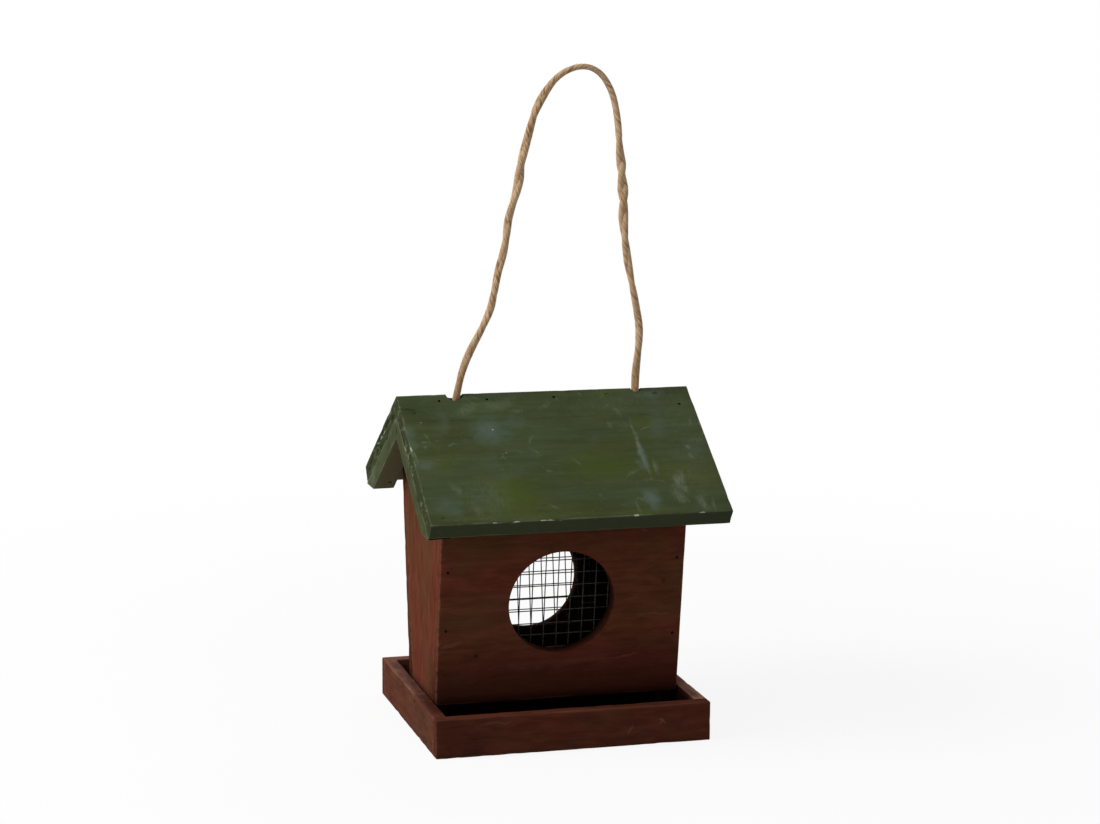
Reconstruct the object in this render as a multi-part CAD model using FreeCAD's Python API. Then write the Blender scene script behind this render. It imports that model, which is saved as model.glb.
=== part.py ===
import FreeCAD, Part
import math
import os

from FreeCAD import Placement, Rotation, Vector

# Wooden hanging bird feeder: a nailed seed hopper on a tray, under a saddle roof that lifts along
# its hanging cord. Millimetres, +Z up, origin at the centre of the tray's underside, front at -Y.

# Tray
tray_length = 138.0
tray_depth = 123.0
rail_height = 19.5
rail_thickness = 6.5
floor_thickness = 6.0

# Hopper: it stands between the side rails
house_end_clearance = 0.75
wall_thickness = 8.0
wall_lean = 8.2
mouth_depth = 58.4
slot_height = 11.3
wall_top_gap = 3.0
window_diameter = 53.0
front_window_height = 67.3
rear_window_height = 65.6

# Window mesh and its staples
mesh_pitch = 6.35
mesh_lap = 5.0
mesh_wire = 0.7
mesh_thickness = 1.2
staple_spread = 5.0
staple_wire = 0.8
staple_bite = 5.0
staple_rows = 2.5

# Roof: its battens hang outside the end walls
roof_depth = 149.0
roof_slope = 33.0
roof_board_thickness = 8.5
ridge_height = 166.0
roof_seat_gap = 0.2
batten_width = 10.8
batten_end_clearance = 1.95
batten_thickness = 9.0
batten_ridge_gap = 0.6

# Nails: heads sit in small pits below the surface
nail_diameter = 1.1
nail_head_diameter = 1.6
nail_head_thickness = 0.5
nail_point = 1.5
nail_set = 0.8
nail_clearance = 0.05
pit_overrun = 0.8
wall_nail_length = 22.0
wall_nail_heights_left = (33.0, 56.0, 86.0)
wall_nail_heights_right = (26.5, 48.0, 87.5)
rail_nail_length = 20.0
floor_edge_nail_length = 16.0
floor_edge_nail_inset = 21.0
rail_to_wall_nail_length = 13.0
rail_to_wall_nail_inset = 6.7
rail_to_wall_nail_drop = 3.1
floor_nail_length = 18.0
floor_nail_inset = 7.5
ridge_nail_length = 24.0
ridge_nail_end_left = 20.7
ridge_nail_end_right = 17.6
ridge_nail_middles = (-29.7, 4.3, 31.8)
batten_nail_length = 14.5
batten_nail_inset = 7.3
batten_nail_from_ridge = 13.0
batten_nail_from_eave = 20.0

# Hanging cord: a loop above the roof, a leg inside each end of the house, and a knot outside it
cord_diameter = 3.8
left_cord_hole_x = -45.4
left_cord_hole_diameter = 8.4
right_cord_hole_x = 47.5
right_cord_hole_diameter = 5.2
tie_height = 129.8
tie_hole_clearance = 0.75
knot_radius = 5.2
knot_seat_radius = 3.5
arc_share = 0.45
house_length = tray_length - 2 * (rail_thickness + house_end_clearance)
cord_loop_route = (
    (-44.6, 0.0, 160.0),
    (-42.6, 0.3, 171.0),
    (-39.0, 0.6, 186.5),
    (-29.2, 0.2, 203.0),
    (-25.0, -0.6, 219.0),
    (-20.4, -0.9, 237.5),
    (-17.8, -0.4, 252.5),
    (-13.8, 0.5, 266.5),
    (-11.9, 1.0, 281.0),
    (-7.2, 0.8, 296.5),
    (-3.0, 0.2, 309.5),
    (5.0, -0.3, 321.5),
    (19.0, -0.4, 328.2),
    (32.6, 0.0, 321.5),
    (37.0, 0.4, 305.5),
    (38.1, 0.9, 287.5),
    (39.8, 1.1, 268.5),
    (40.8, 0.6, 249.5),
    (43.2, -0.2, 231.0),
    (46.4, -0.8, 213.0),
    (50.2, -0.6, 194.5),
    (48.6, 0.0, 179.5),
    (47.7, 0.2, 168.5),
    (47.4, 0.0, 160.0),
)
cord_leg_left_route = (
    (-44.6, 0.0, 160.0),
    (-46.14, -0.23, 151.54),
    (-47.4, -0.1, 142.4),
    (-48.8, 0.0, 134.2),
    (-52.2, 0.0, tie_height),
    (-57.0, 0.1, tie_height),
    (-house_length / 2, 0.0, tie_height),
)
cord_leg_right_route = (
    (47.4, 0.0, 160.0),
    (47.1, -0.2, 151.41),
    (47.3, 0.0, 142.4),
    (48.8, 0.0, 134.2),
    (52.2, 0.0, tie_height),
    (57.0, -0.1, tie_height),
    (house_length / 2, 0.0, tie_height),
)

# Sizes that follow from those above
half_tray_length = tray_length / 2
half_tray_depth = tray_depth / 2
half_house = house_length / 2
half_roof = half_house + batten_end_clearance + batten_width
half_mouth = mouth_depth / 2
wall_foot = floor_thickness + slot_height
lean = math.radians(wall_lean)
slope = math.radians(roof_slope)
ridge_under = ridge_height - roof_board_thickness / math.cos(slope)
eave = roof_depth / 2 / math.cos(slope)
inner_foot = half_mouth - wall_thickness / math.cos(lean)
end_wall_centre = half_house - wall_thickness / 2
mesh_cells = 2 * math.ceil((window_diameter / 2 + mesh_lap) / mesh_pitch)
front_place = Placement(Vector(0, -half_mouth, wall_foot), Rotation(Vector(1, 0, 0), wall_lean))
half_turn = Placement(Vector(0, 0, 0), Rotation(Vector(0, 0, 1), 180))
rear_place = half_turn.multiply(front_place)
leaning_walls = (("front", front_place, front_window_height), ("rear", rear_place, rear_window_height))
right = Vector(1, 0, 0)
up = Vector(0, 0, 1)
rearward = Vector(0, 1, 0)

pieces = {}


def prism(outline, x_low, x_high):
    """Solid with the given (y, z) outline, from x_low to x_high."""
    corners = [Vector(x_low, y, z) for y, z in outline]
    face = Part.Face(Part.makePolygon(corners + corners[:1]))
    return face.extrude(Vector(x_high - x_low, 0, 0))


def box(low, high):
    """Box between two corners."""
    size = [b - a for a, b in zip(low, high)]
    return Part.makeBox(*size, Vector(*low))


def placed(shape, placement):
    """Copy of a shape moved by a placement."""
    copy = shape.copy()
    copy.Placement = placement.multiply(copy.Placement)
    return copy


def revolved(profile, point, direction):
    """Solid turned from an (r, z) profile about a line through a point."""
    corners = [Vector(r, 0, z) for r, z in profile]
    face = Part.Face(Part.makePolygon(corners + corners[:1]))
    solid = face.revolve(Vector(0, 0, 0), up, 360)
    return placed(solid, Placement(point, Rotation(up, direction)))


def nail_profile(length, grow, mouth):
    """Half outline of a nail, or of its hole when grown and opened at the surface."""
    head = nail_head_diameter / 2 + grow
    shank = nail_diameter / 2 + grow
    under_head = nail_head_thickness + grow
    outline = [(0, -mouth), (head, -mouth), (head, under_head), (shank, under_head)]
    return outline + [(shank, length - nail_point), (0, length + grow)]


def drive_nails(node, boards, length, starts):
    """Nails from (surface point, direction) pairs, with their holes cut in the boards they hold."""
    nail_outline = nail_profile(length, 0, 0)
    hole_outline = nail_profile(length, nail_clearance, nail_set + pit_overrun)
    nails = []
    holes = []
    for point, direction in starts:
        head = point + direction * nail_set
        nails.append(revolved(nail_outline, head, direction))
        holes.append(revolved(hole_outline, head, direction))
    pieces[node] = Part.makeCompound(nails)
    for board in boards:
        pieces[board] = pieces[board].cut(Part.makeCompound(holes))


def roof_point(side, distance, depth):
    """(y, z) at a distance down the slope and a depth under its face; side -1 is the front."""
    y = side * (distance * math.cos(slope) - depth * math.sin(slope))
    z = ridge_height - distance * math.sin(slope) - depth * math.cos(slope)
    return y, z


def cord_tube(points):
    """Round tube along straight runs joined by tangent arcs, with its bend radii and its length."""
    knots = [Vector(*p) for p in points]
    edges = []
    radii = []
    start = knots[0]
    for before, corner, after in zip(knots, knots[1:], knots[2:]):
        run_in = corner - before
        run_out = after - corner
        trim = arc_share * min(run_in.Length, run_out.Length)
        turn = run_in.getAngle(run_out)
        radii.append(trim / math.tan(turn / 2))
        run_in.normalize()
        run_out.normalize()
        first = corner - run_in * trim
        last = corner + run_out * trim
        inward = (run_out - run_in).normalize()
        to_arc = radii[-1] / math.cos(turn / 2) - radii[-1]
        edges.append(Part.LineSegment(start, first).toShape())
        edges.append(Part.Arc(first, corner + inward * to_arc, last).toShape())
        start = last
    edges.append(Part.LineSegment(start, knots[-1]).toShape())
    path = Part.Wire(edges)
    ring = Part.Wire(Part.makeCircle(cord_diameter / 2, knots[0], knots[1] - knots[0]))
    return path.makePipeShell([ring], True, False), radii, path.Length


def make_tray():
    """Floor board inside four rails; the front and rear rails lap the ends of the side rails."""
    inner_x = half_tray_length - rail_thickness
    inner_y = half_tray_depth - rail_thickness
    pieces["tray_floor"] = box((-inner_x, -inner_y, 0), (inner_x, inner_y, floor_thickness))
    rail = box((-half_tray_length, inner_y, 0), (half_tray_length, half_tray_depth, rail_height))
    pieces["tray_rail_rear"] = rail
    pieces["tray_rail_front"] = placed(rail, half_turn)
    rail = box((inner_x, -inner_y, 0), (half_tray_length, inner_y, rail_height))
    pieces["tray_rail_right"] = rail
    pieces["tray_rail_left"] = placed(rail, half_turn)


def make_walls():
    """Two leaning walls with round windows, and the two gabled end walls that they are nailed to."""
    wall_run = ridge_under - wall_foot - half_mouth * math.tan(slope) - wall_top_gap
    wall_height = wall_run / (math.cos(lean) + math.sin(lean) * math.tan(slope))
    board = box((-half_house, 0, 0), (half_house, wall_thickness, wall_height))
    for face, place, window_height in leaning_walls:
        centre = window_centre(window_height)
        window = Part.makeCylinder(window_diameter / 2, wall_thickness, centre, rearward)
        pieces[face + "_wall"] = placed(board.cut(window), place)

    gable = ridge_under - roof_seat_gap / math.cos(slope)
    shoulder = gable - (inner_foot - wall_foot * math.tan(lean)) * math.tan(slope)
    shoulder = shoulder / (1 + math.tan(slope) * math.tan(lean))
    foot_y = end_wall_edge(floor_thickness)
    shoulder_y = end_wall_edge(shoulder)
    outline = [(-foot_y, floor_thickness), (foot_y, floor_thickness)]
    outline += [(shoulder_y, shoulder), (0, gable), (-shoulder_y, shoulder)]
    inner_x = half_house - wall_thickness
    tie_hole_radius = cord_diameter / 2 + tie_hole_clearance
    tie_hole = Part.makeCylinder(tie_hole_radius, wall_thickness, Vector(inner_x, 0, tie_height), right)
    end_wall = prism(outline, inner_x, half_house).cut(tie_hole)
    pieces["right_end_wall"] = end_wall
    pieces["left_end_wall"] = placed(end_wall, half_turn)


def end_wall_edge(height):
    """Distance from the middle to an end wall's slanted edge, at a height."""
    return inner_foot + (height - wall_foot) * math.tan(lean)


def window_centre(window_height):
    """Centre of a window on a wall's outer face, in the wall's own upright frame."""
    return Vector(0, 0, (window_height - wall_foot) / math.cos(lean))


def make_mesh():
    """Square-celled mesh panel behind each window, held by four staples."""
    first = -mesh_cells * mesh_pitch / 2
    edge = mesh_wire / 2

    def square(x_low, z_low, x_high, z_high):
        corners = [(x_low, z_low), (x_high, z_low), (x_high, z_high), (x_low, z_high), (x_low, z_low)]
        return Part.makePolygon([Vector(x, wall_thickness, z) for x, z in corners])

    wires = [square(first - edge, first - edge, -first + edge, -first + edge)]
    for column in range(mesh_cells):
        for row in range(mesh_cells):
            x = first + column * mesh_pitch
            z = first + row * mesh_pitch
            wires.append(square(x + edge, z + edge, x + mesh_pitch - edge, z + mesh_pitch - edge))
    panel = Part.makeFace(wires, "Part::FaceMakerBullseye").extrude(rearward * mesh_thickness)

    staples = []
    legs = []
    crown = wall_thickness + mesh_thickness
    for side in (-1, 1):
        for level in (-1, 1):
            x = side * mesh_cells * mesh_pitch / 2
            z = level * staple_rows * mesh_pitch
            outer = staple_spread / 2 + staple_wire
            low = z - staple_wire / 2
            high = z + staple_wire / 2
            staple = box((x - outer, crown, low), (x + outer, crown + staple_wire, high))
            for leg_x in (x - outer, x + outer - staple_wire):
                leg = box((leg_x, wall_thickness - staple_bite, low), (leg_x + staple_wire, crown, high))
                staple = staple.fuse(leg)
                legs.append(leg)
            staples.append(staple.removeSplitter())

    for face, place, window_height in leaning_walls:
        seat = place.multiply(Placement(window_centre(window_height), Rotation()))
        pieces[face + "_mesh"] = placed(panel, seat)
        pieces[face + "_mesh_staples"] = placed(Part.makeCompound(staples), seat)
        sockets = placed(Part.makeCompound(legs), seat)
        pieces[face + "_wall"] = pieces[face + "_wall"].cut(sockets)


def make_roof():
    """Two boards that meet at the ridge, the front one on top, and a batten under each gable end."""
    lap = roof_board_thickness / 2 / math.sin(slope)
    lap_point = (lap, ridge_height - lap * math.tan(slope))
    front = [(0, ridge_height), roof_point(-1, eave, 0)]
    front += [roof_point(-1, eave, roof_board_thickness), lap_point]
    rear = [lap_point, (0, ridge_under)]
    rear += [roof_point(1, eave, roof_board_thickness), roof_point(1, eave, 0)]
    left_hole = (left_cord_hole_x, left_cord_hole_diameter)
    right_hole = (right_cord_hole_x, right_cord_hole_diameter)
    holes = []
    for x, diameter in (left_hole, right_hole):
        start = Vector(x, 0, ridge_height - roof_depth / 2)
        holes.append(Part.makeCylinder(diameter / 2, roof_depth, start, up))
    for node, outline in (("roof_board_front", front), ("roof_board_rear", rear)):
        board = prism(outline, -half_roof, half_roof)
        pieces[node] = board.cut(Part.makeCompound(holes))

    foot_y, foot_z = roof_point(1, eave, roof_board_thickness)
    plumb = batten_ridge_gap / 2
    batten_under = ridge_under - batten_thickness / math.cos(slope)
    foot_inner = (batten_under - foot_z) / math.tan(slope)
    outline = [(foot_y, foot_z), (foot_inner, foot_z)]
    outline += [(plumb, z - plumb * math.tan(slope)) for z in (batten_under, ridge_under)]
    for face, side in (("front", -1), ("rear", 1)):
        turned = [(side * y, z) for y, z in outline]
        pieces["roof_batten_" + face + "_right"] = prism(turned, half_roof - batten_width, half_roof)
        pieces["roof_batten_" + face + "_left"] = prism(turned, -half_roof, batten_width - half_roof)


def nail_everything():
    """Nails of each joint, in the order in which the feeder is put together."""
    ends = ["left_end_wall", "right_end_wall"]
    corners = [(x, y) for x in (-1, 1) for y in (-1, 1)]

    heights = {-1: wall_nail_heights_left, 1: wall_nail_heights_right}
    for face, place, _ in leaning_walls:
        inward = place.Rotation.multVec(rearward)
        starts = []
        for side in (-1, 1):
            for height in heights[side]:
                local = Vector(side * end_wall_centre, 0, (height - wall_foot) / math.cos(lean))
                starts.append((place.multVec(local), inward))
        drive_nails(face + "_wall_nails", [face + "_wall"] + ends, wall_nail_length, starts)

    nail_x = half_tray_length - rail_thickness / 2
    starts = [(Vector(x * nail_x, y * half_tray_depth, rail_height / 2), rearward * -y) for x, y in corners]
    rails = ["tray_rail_front", "tray_rail_rear", "tray_rail_left", "tray_rail_right"]
    drive_nails("rail_corner_nails", rails, rail_nail_length, starts)

    nail_y = half_tray_depth - floor_edge_nail_inset
    nail_z = floor_thickness / 2
    starts = [(Vector(x * half_tray_length, y * nail_y, nail_z), right * -x) for x, y in corners]
    sides = ["tray_rail_left", "tray_rail_right"]
    drive_nails("floor_edge_nails", sides + ["tray_floor"], floor_edge_nail_length, starts)

    nail_z = rail_height - rail_to_wall_nail_drop
    nail_y = end_wall_edge(nail_z) - rail_to_wall_nail_inset
    starts = [(Vector(x * half_tray_length, y * nail_y, nail_z), right * -x) for x, y in corners]
    drive_nails("rail_to_wall_nails", sides + ends, rail_to_wall_nail_length, starts)

    nail_y = end_wall_edge(floor_thickness) - floor_nail_inset
    starts = [(Vector(x * end_wall_centre, y * nail_y, 0), up) for x, y in corners]
    drive_nails("floor_nails", ["tray_floor"] + ends, floor_nail_length, starts)

    ridge_y, ridge_z = roof_point(-1, roof_board_thickness / 2 / math.sin(2 * slope), 0)
    along_rear_board = Vector(0, math.cos(slope), -math.sin(slope))
    places = [ridge_nail_end_left - half_roof, *ridge_nail_middles, half_roof - ridge_nail_end_right]
    starts = [(Vector(x, ridge_y, ridge_z), along_rear_board) for x in places]
    boards = ["roof_board_front", "roof_board_rear"]
    drive_nails("ridge_nails", boards, ridge_nail_length, starts)

    nail_x = half_roof - batten_nail_inset
    starts = []
    for x, y in corners:
        inward = Vector(0, -y * math.sin(slope), -math.cos(slope))
        top = roof_point(y, batten_nail_from_ridge, 0)
        bottom = roof_point(y, eave - batten_nail_from_eave, roof_board_thickness + batten_thickness)
        starts.append((Vector(x * nail_x, *top), inward))
        starts.append((Vector(x * nail_x, *bottom), -inward))
    battens = ["roof_batten_" + face + side for face in ("front", "rear") for side in ("_left", "_right")]
    drive_nails("batten_nails", boards + battens, batten_nail_length, starts)


def make_cord():
    """Hanging cord in three stretches, and the knots that stop it outside the end walls."""
    for node, route in (("cord_loop", cord_loop_route), ("cord_leg_left", cord_leg_left_route),
                        ("cord_leg_right", cord_leg_right_route)):
        tube, radii, length = cord_tube(route)
        pieces[node] = tube
        share = tube.Volume / (math.pi * cord_diameter ** 2 / 4 * length)
        print(node, "length %.1f" % length, "volume over section times length %.4f" % share)
        print(node, "radii", " ".join("%.1f" % r for r in radii))

    seat = math.sqrt(knot_radius ** 2 - knot_seat_radius ** 2)
    ball = Part.makeSphere(knot_radius, Vector(half_house + seat, 0, tie_height))
    keep = box((half_house, -knot_radius, tie_height - knot_radius),
               (half_house + seat + knot_radius, knot_radius, tie_height + knot_radius))
    pieces["cord_knot_right"] = ball.common(keep)
    pieces["cord_knot_left"] = placed(pieces["cord_knot_right"], half_turn)


def main():
    """Builds every piece and writes one file each."""
    make_tray()
    make_walls()
    make_mesh()
    make_roof()
    nail_everything()
    make_cord()
    os.makedirs("parts", exist_ok=True)
    for node, shape in pieces.items():
        if not shape.isValid():
            raise ValueError(node + " is not a valid solid")
        shape.exportStep("parts/" + node + ".step")
        print(node, "solids", len(shape.Solids), "volume %.1f" % shape.Volume)


main()
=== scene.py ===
"""Looks of a wooden hanging bird feeder.

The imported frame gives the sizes. Here its boards become worn stained timber with nail pits, its windows get
welded wire, and its cord becomes laid jute with tied ends, in a plain white studio.
"""
import functools
import logging
import math
import random
from dataclasses import dataclass, replace
from enum import Enum
from typing import Callable, Optional, Sequence, Union

import bmesh
import bpy
from mathutils import Euler, Matrix, Vector, noise


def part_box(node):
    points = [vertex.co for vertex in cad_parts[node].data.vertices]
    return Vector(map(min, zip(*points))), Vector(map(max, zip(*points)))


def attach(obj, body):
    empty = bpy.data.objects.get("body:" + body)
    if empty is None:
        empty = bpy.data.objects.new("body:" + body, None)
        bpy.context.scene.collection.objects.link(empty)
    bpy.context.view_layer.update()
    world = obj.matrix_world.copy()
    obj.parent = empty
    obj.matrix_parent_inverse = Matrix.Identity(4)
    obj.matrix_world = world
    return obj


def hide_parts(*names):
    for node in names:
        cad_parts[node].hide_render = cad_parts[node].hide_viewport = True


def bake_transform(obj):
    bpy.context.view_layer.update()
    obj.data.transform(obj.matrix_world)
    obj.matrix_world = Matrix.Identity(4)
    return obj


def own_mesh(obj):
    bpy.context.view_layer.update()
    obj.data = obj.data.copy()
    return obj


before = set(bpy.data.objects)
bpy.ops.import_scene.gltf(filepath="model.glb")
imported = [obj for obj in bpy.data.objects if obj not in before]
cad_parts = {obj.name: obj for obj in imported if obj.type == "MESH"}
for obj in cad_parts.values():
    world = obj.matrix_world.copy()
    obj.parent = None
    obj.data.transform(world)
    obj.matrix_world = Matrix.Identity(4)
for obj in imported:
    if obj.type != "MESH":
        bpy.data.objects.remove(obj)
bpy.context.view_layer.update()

MM = 0.001
PHOTO_WIDTH = 1100
SENSOR_WIDTH = 36.0
ROOF_SLOPE = math.radians(33.0)
WALL_LEAN = math.radians(8.2)
ORIGIN = Vector()
X_AXIS = Vector((1, 0, 0))
Y_AXIS = Vector((0, 1, 0))
Z_AXIS = Vector((0, 0, 1))
AXES = (X_AXIS, Y_AXIS, Z_AXIS)
SAW_RUN = Vector((0.0, 0.92, -0.39))
SAW_OFF = Vector((0.0, 0.39, 0.92))
NAIL_MERGE = 0.005 * MM
NAIL_END_SLACKS = (0.4 * MM, 0.05 * MM)

Point = tuple[float, float, float]
Colour = tuple[float, float, float, float]
log = logging.getLogger("bird_feeder")


def tint(red: int, green: int, blue: int) -> Colour:
    """Linear colour of a display colour.

    Args:
        red, green, blue: parts of the display colour, from 0 to 255.

    Returns:
        The colour as a shader socket takes it.
    """
    def linear(part: int) -> float:
        """One part, without the display's curve."""
        share = part / 255
        return share / 12.92 if share <= 0.04045 else ((share + 0.055) / 1.055) ** 2.4

    return linear(red), linear(green), linear(blue), 1.0


# Shader writing

class Field:
    """A shader socket that joins in Python arithmetic; each operation adds a Math node."""

    def __init__(self, shader: "Shader", socket: bpy.types.NodeSocket) -> None:
        """Wraps one output socket of a shader's tree."""
        self.shader = shader
        self.socket = socket

    def math(self, operation: str, *terms: "Value") -> "Field":
        """A Math node on the given terms."""
        return self.shader.node("ShaderNodeMath", {"operation": operation}, dict(enumerate(terms)))

    def __add__(self, other: "Value") -> "Field":
        """Sum."""
        return self.math("ADD", self, other)

    def __sub__(self, other: "Value") -> "Field":
        """Difference."""
        return self.math("SUBTRACT", self, other)

    def __rsub__(self, other: "Value") -> "Field":
        """Difference from a number."""
        return self.math("SUBTRACT", other, self)

    def __mul__(self, other: "Value") -> "Field":
        """Product."""
        return self.math("MULTIPLY", self, other)

    def __truediv__(self, other: "Value") -> "Field":
        """Quotient."""
        return self.math("DIVIDE", self, other)

    def __pow__(self, power: "Value") -> "Field":
        """Power."""
        return self.math("POWER", self, power)

    __radd__ = __add__
    __rmul__ = __mul__

    def size(self) -> "Field":
        """The value without its sign."""
        return self.math("ABSOLUTE", self)

    def fraction(self) -> "Field":
        """What is left above the whole number below."""
        return self.math("FRACT", self)

    def most(self, other: "Value") -> "Field":
        """The larger of two values."""
        return self.math("MAXIMUM", self, other)

    def step(self, low: "Value", high: "Value") -> "Field":
        """A smooth step from 0 to 1.

        Args:
            low: where it starts.
            high: where it ends, which may be below.

        Returns:
            The step's value.
        """
        settings = {"interpolation_type": "SMOOTHSTEP"}
        inputs = {"Value": self, "From Min": low, "From Max": high}
        return self.shader.node("ShaderNodeMapRange", settings, inputs)


Value = Union[Field, float, tuple, Vector]


class Shader:
    """A node tree that is written as expressions."""

    def __init__(self, tree: bpy.types.NodeTree) -> None:
        """Empties the tree to write a new one."""
        self.tree = tree
        tree.nodes.clear()

    def node(self, kind: str, settings: dict, inputs: dict, output: Union[int, str] = 0) -> Field:
        """Adds a node.

        Args:
            kind: the node's type.
            settings: its properties, set first.
            inputs: values or links of its sockets, by name or number.
            output: the output socket that is wanted.

        Returns:
            That output.
        """
        node = self.tree.nodes.new(kind)
        for key, value in settings.items():
            setattr(node, key, value)
        for key, value in inputs.items():
            if isinstance(value, Field):
                self.tree.links.new(value.socket, node.inputs[key])
            else:
                node.inputs[key].default_value = value
        return Field(self, node.outputs[output]) if node.outputs else None

    def place(self) -> Field:
        """Where a spot lies in the row frame, in metres."""
        return self.node("ShaderNodeTexCoord", {}, {}, "Object")

    def facing(self) -> Field:
        """The way a spot of the surface looks."""
        return self.node("ShaderNodeTexCoord", {}, {}, "Normal")

    def mix(self, share: Value, first: Value, second: Value) -> Field:
        """A colour between two others."""
        return self.node("ShaderNodeMix", {"data_type": "RGBA"}, {0: share, 6: first, 7: second}, 2)

    def shade(self, colour: Value, share: Value) -> Field:
        """A colour made darker or lighter.

        Args:
            colour: the colour.
            share: what each of its parts is multiplied by.

        Returns:
            The product.
        """
        grey = self.node("ShaderNodeCombineColor", {}, {0: share, 1: share, 2: share})
        settings = {"data_type": "RGBA", "blend_type": "MULTIPLY"}
        return self.node("ShaderNodeMix", settings, {0: 1.0, 6: colour, 7: grey}, 2)

    def dot(self, place: Field, axis: Vector) -> Field:
        """How far a vector reaches along an axis."""
        return self.node("ShaderNodeVectorMath", {"operation": "DOT_PRODUCT"}, {0: place, 1: axis}, "Value")

    def noise(self, place: Field, stretch: Point, seed: float, detail: float = 2.0,
              distortion: float = 0.0) -> Field:
        """Cloudy values around a half.

        Args:
            place: coordinates in millimetres.
            stretch: how many clouds there are to a millimetre, along each axis.
            seed: a number that tells one pattern from another.
            detail: how many finer layers are added.
            distortion: how far the pattern curls.

        Returns:
            The cloud's value.
        """
        scaled = self.node("ShaderNodeVectorMath", {"operation": "MULTIPLY"}, {0: place, 1: stretch})
        inputs = {"Vector": scaled, "W": seed, "Scale": 1.0, "Detail": detail, "Distortion": distortion}
        return self.node("ShaderNodeTexNoise", {"noise_dimensions": "4D"}, inputs)

    def attribute(self, name: str) -> Field:
        """A value that the piece's own mesh holds."""
        return self.node("ShaderNodeAttribute", {"attribute_name": name}, {}, "Fac")

    def finish(self, colour: Value, roughness: Value, height: Field, depth: float,
               **constants: Value) -> None:
        """Ends the tree in one surface.

        Args:
            colour: base colour.
            roughness: roughness.
            height: relief from 0 to 1.
            depth: what a relief of 1 stands for, in metres.
            constants: sockets that are the same all over, with spaces as underscores.
        """
        relief = {"Height": height, "Distance": depth, "Strength": 1.0}
        normal = self.node("ShaderNodeBump", {}, relief)
        inputs = {"Base Color": colour, "Roughness": roughness, "Normal": normal}
        inputs.update({key.replace("_", " "): value for key, value in constants.items()})
        surface = self.node("ShaderNodeBsdfPrincipled", {}, inputs)
        self.node("ShaderNodeOutputMaterial", {}, {"Surface": surface})


def new_material(name: str) -> tuple[bpy.types.Material, Shader]:
    """Starts a material.

    Args:
        name: the material's name.

    Returns:
        An empty material and the shader that writes it.
    """
    material = bpy.data.materials.new(name)
    material.use_nodes = True
    return material, Shader(material.node_tree)


def new_mesh(name: str, bm: bmesh.types.BMesh) -> bpy.types.Mesh:
    """A mesh from a bmesh.

    Args:
        name: the mesh's name.
        bm: what it is made from, which is freed.

    Returns:
        The mesh.
    """
    mesh = bpy.data.meshes.new(name)
    bm.to_mesh(mesh)
    bm.free()
    return mesh


# Finishes

class Grain(Enum):
    """Turn that lays a board's fibres along the X axis of its pattern."""

    ALONG_X = (0.0, 0.0, 0.0)
    ALONG_Y = (0.0, 0.0, -math.pi / 2)
    ALONG_Z = (0.0, math.pi / 2, 0.0)
    DOWN_FRONT = (-ROOF_SLOPE, 0.0, -math.pi / 2)
    DOWN_REAR = (ROOF_SLOPE, 0.0, -math.pi / 2)


class TimberPattern:
    """Fibres, growth rings and stain clouds of one board, as shader values."""

    ring_width = 3.4
    ring_wander = 9.0
    pith_aside = 22.0
    pith_depth = (28.0, 60.0)
    seeds_apart = 10.0
    sawn_facing = (0.6, 0.85)
    late_power = 2.5
    late_end = (1.0, 0.9)
    wander_noise = (0.012, 0.03, 1)
    fibre_noise = (0.07, 2.0, 2, 5.0)

    def __init__(self, shader: Shader, grain: Grain, centre: Vector, seed: int) -> None:
        """Lays the pattern in one board.

        Args:
            shader: the material's tree.
            grain: which way the fibres run.
            centre: middle of the board, in metres.
            seed: a number that tells one board from another.
        """
        draw = random.Random(seed)
        self.shader = shader
        self.seed = self.seeds_apart * seed
        turn = Euler(grain.value).to_matrix()
        aside = draw.uniform(-self.pith_aside, self.pith_aside)
        pith = Vector((0.0, aside, draw.uniform(*self.pith_depth)))
        inputs = {"Vector": shader.place(), "Location": pith - turn @ (centre / MM), "Rotation": grain.value,
                  "Scale": (1 / MM,) * 3}
        self.place = shader.node("ShaderNodeMapping", {}, inputs)
        self.facing = shader.facing()
        self.grain_axis = turn.transposed() @ X_AXIS

    def noise(self, along: float, across: float, number: int, detail: float = 2.0,
              curl: float = 0.0) -> Field:
        """Clouds drawn out along the fibres, from clouds to a millimetre along and across."""
        return self.shader.noise(self.place, (along, across, across), self.seed + number, detail, curl)

    def end_grain(self) -> Field:
        """1 where a sawn end shows the fibres' ends, 0 along the board."""
        return self.shader.dot(self.facing, self.grain_axis).size().step(*self.sawn_facing)

    def rings(self) -> Field:
        """Growth rings around the pith.

        Returns:
            0 in soft early wood, rising to 1 in a thin dark late line.
        """
        y, z = (self.shader.node("ShaderNodeSeparateXYZ", {}, {0: self.place}, axis) for axis in "YZ")
        wander = self.noise(*self.wander_noise) - 0.5
        radius = (y * y + z * z) ** 0.5 + wander * self.ring_wander
        year = (radius / self.ring_width).fraction()
        return (year ** self.late_power) * year.step(*self.late_end)

    def fibres(self) -> Field:
        """Fine drawn-out streaks."""
        return self.noise(*self.fibre_noise)


class Hue(Enum):
    """Colour of a mark on a painted or stained face, and how soft its border is, from 0 to 1."""

    OLIVE = (tint(75, 88, 37), 1.0)
    BLOOM = (tint(91, 104, 93), 0.9)
    SCUFF = (tint(108, 118, 95), 1.0)
    PALE = (tint(132, 94, 77), 0.6)
    MOSS = (tint(94, 66, 40), 1.0)
    RUST = (tint(88, 48, 36), 0.8)
    DARK = (tint(34, 18, 14), 0.7)
    DENT = (tint(32, 37, 23), 0.6)
    CHIP = (tint(202, 200, 178), 0.3)

    def __init__(self, colour: Colour, softness: float) -> None:
        """Keeps the two values under their names."""
        self.colour = colour
        self.softness = softness


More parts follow.
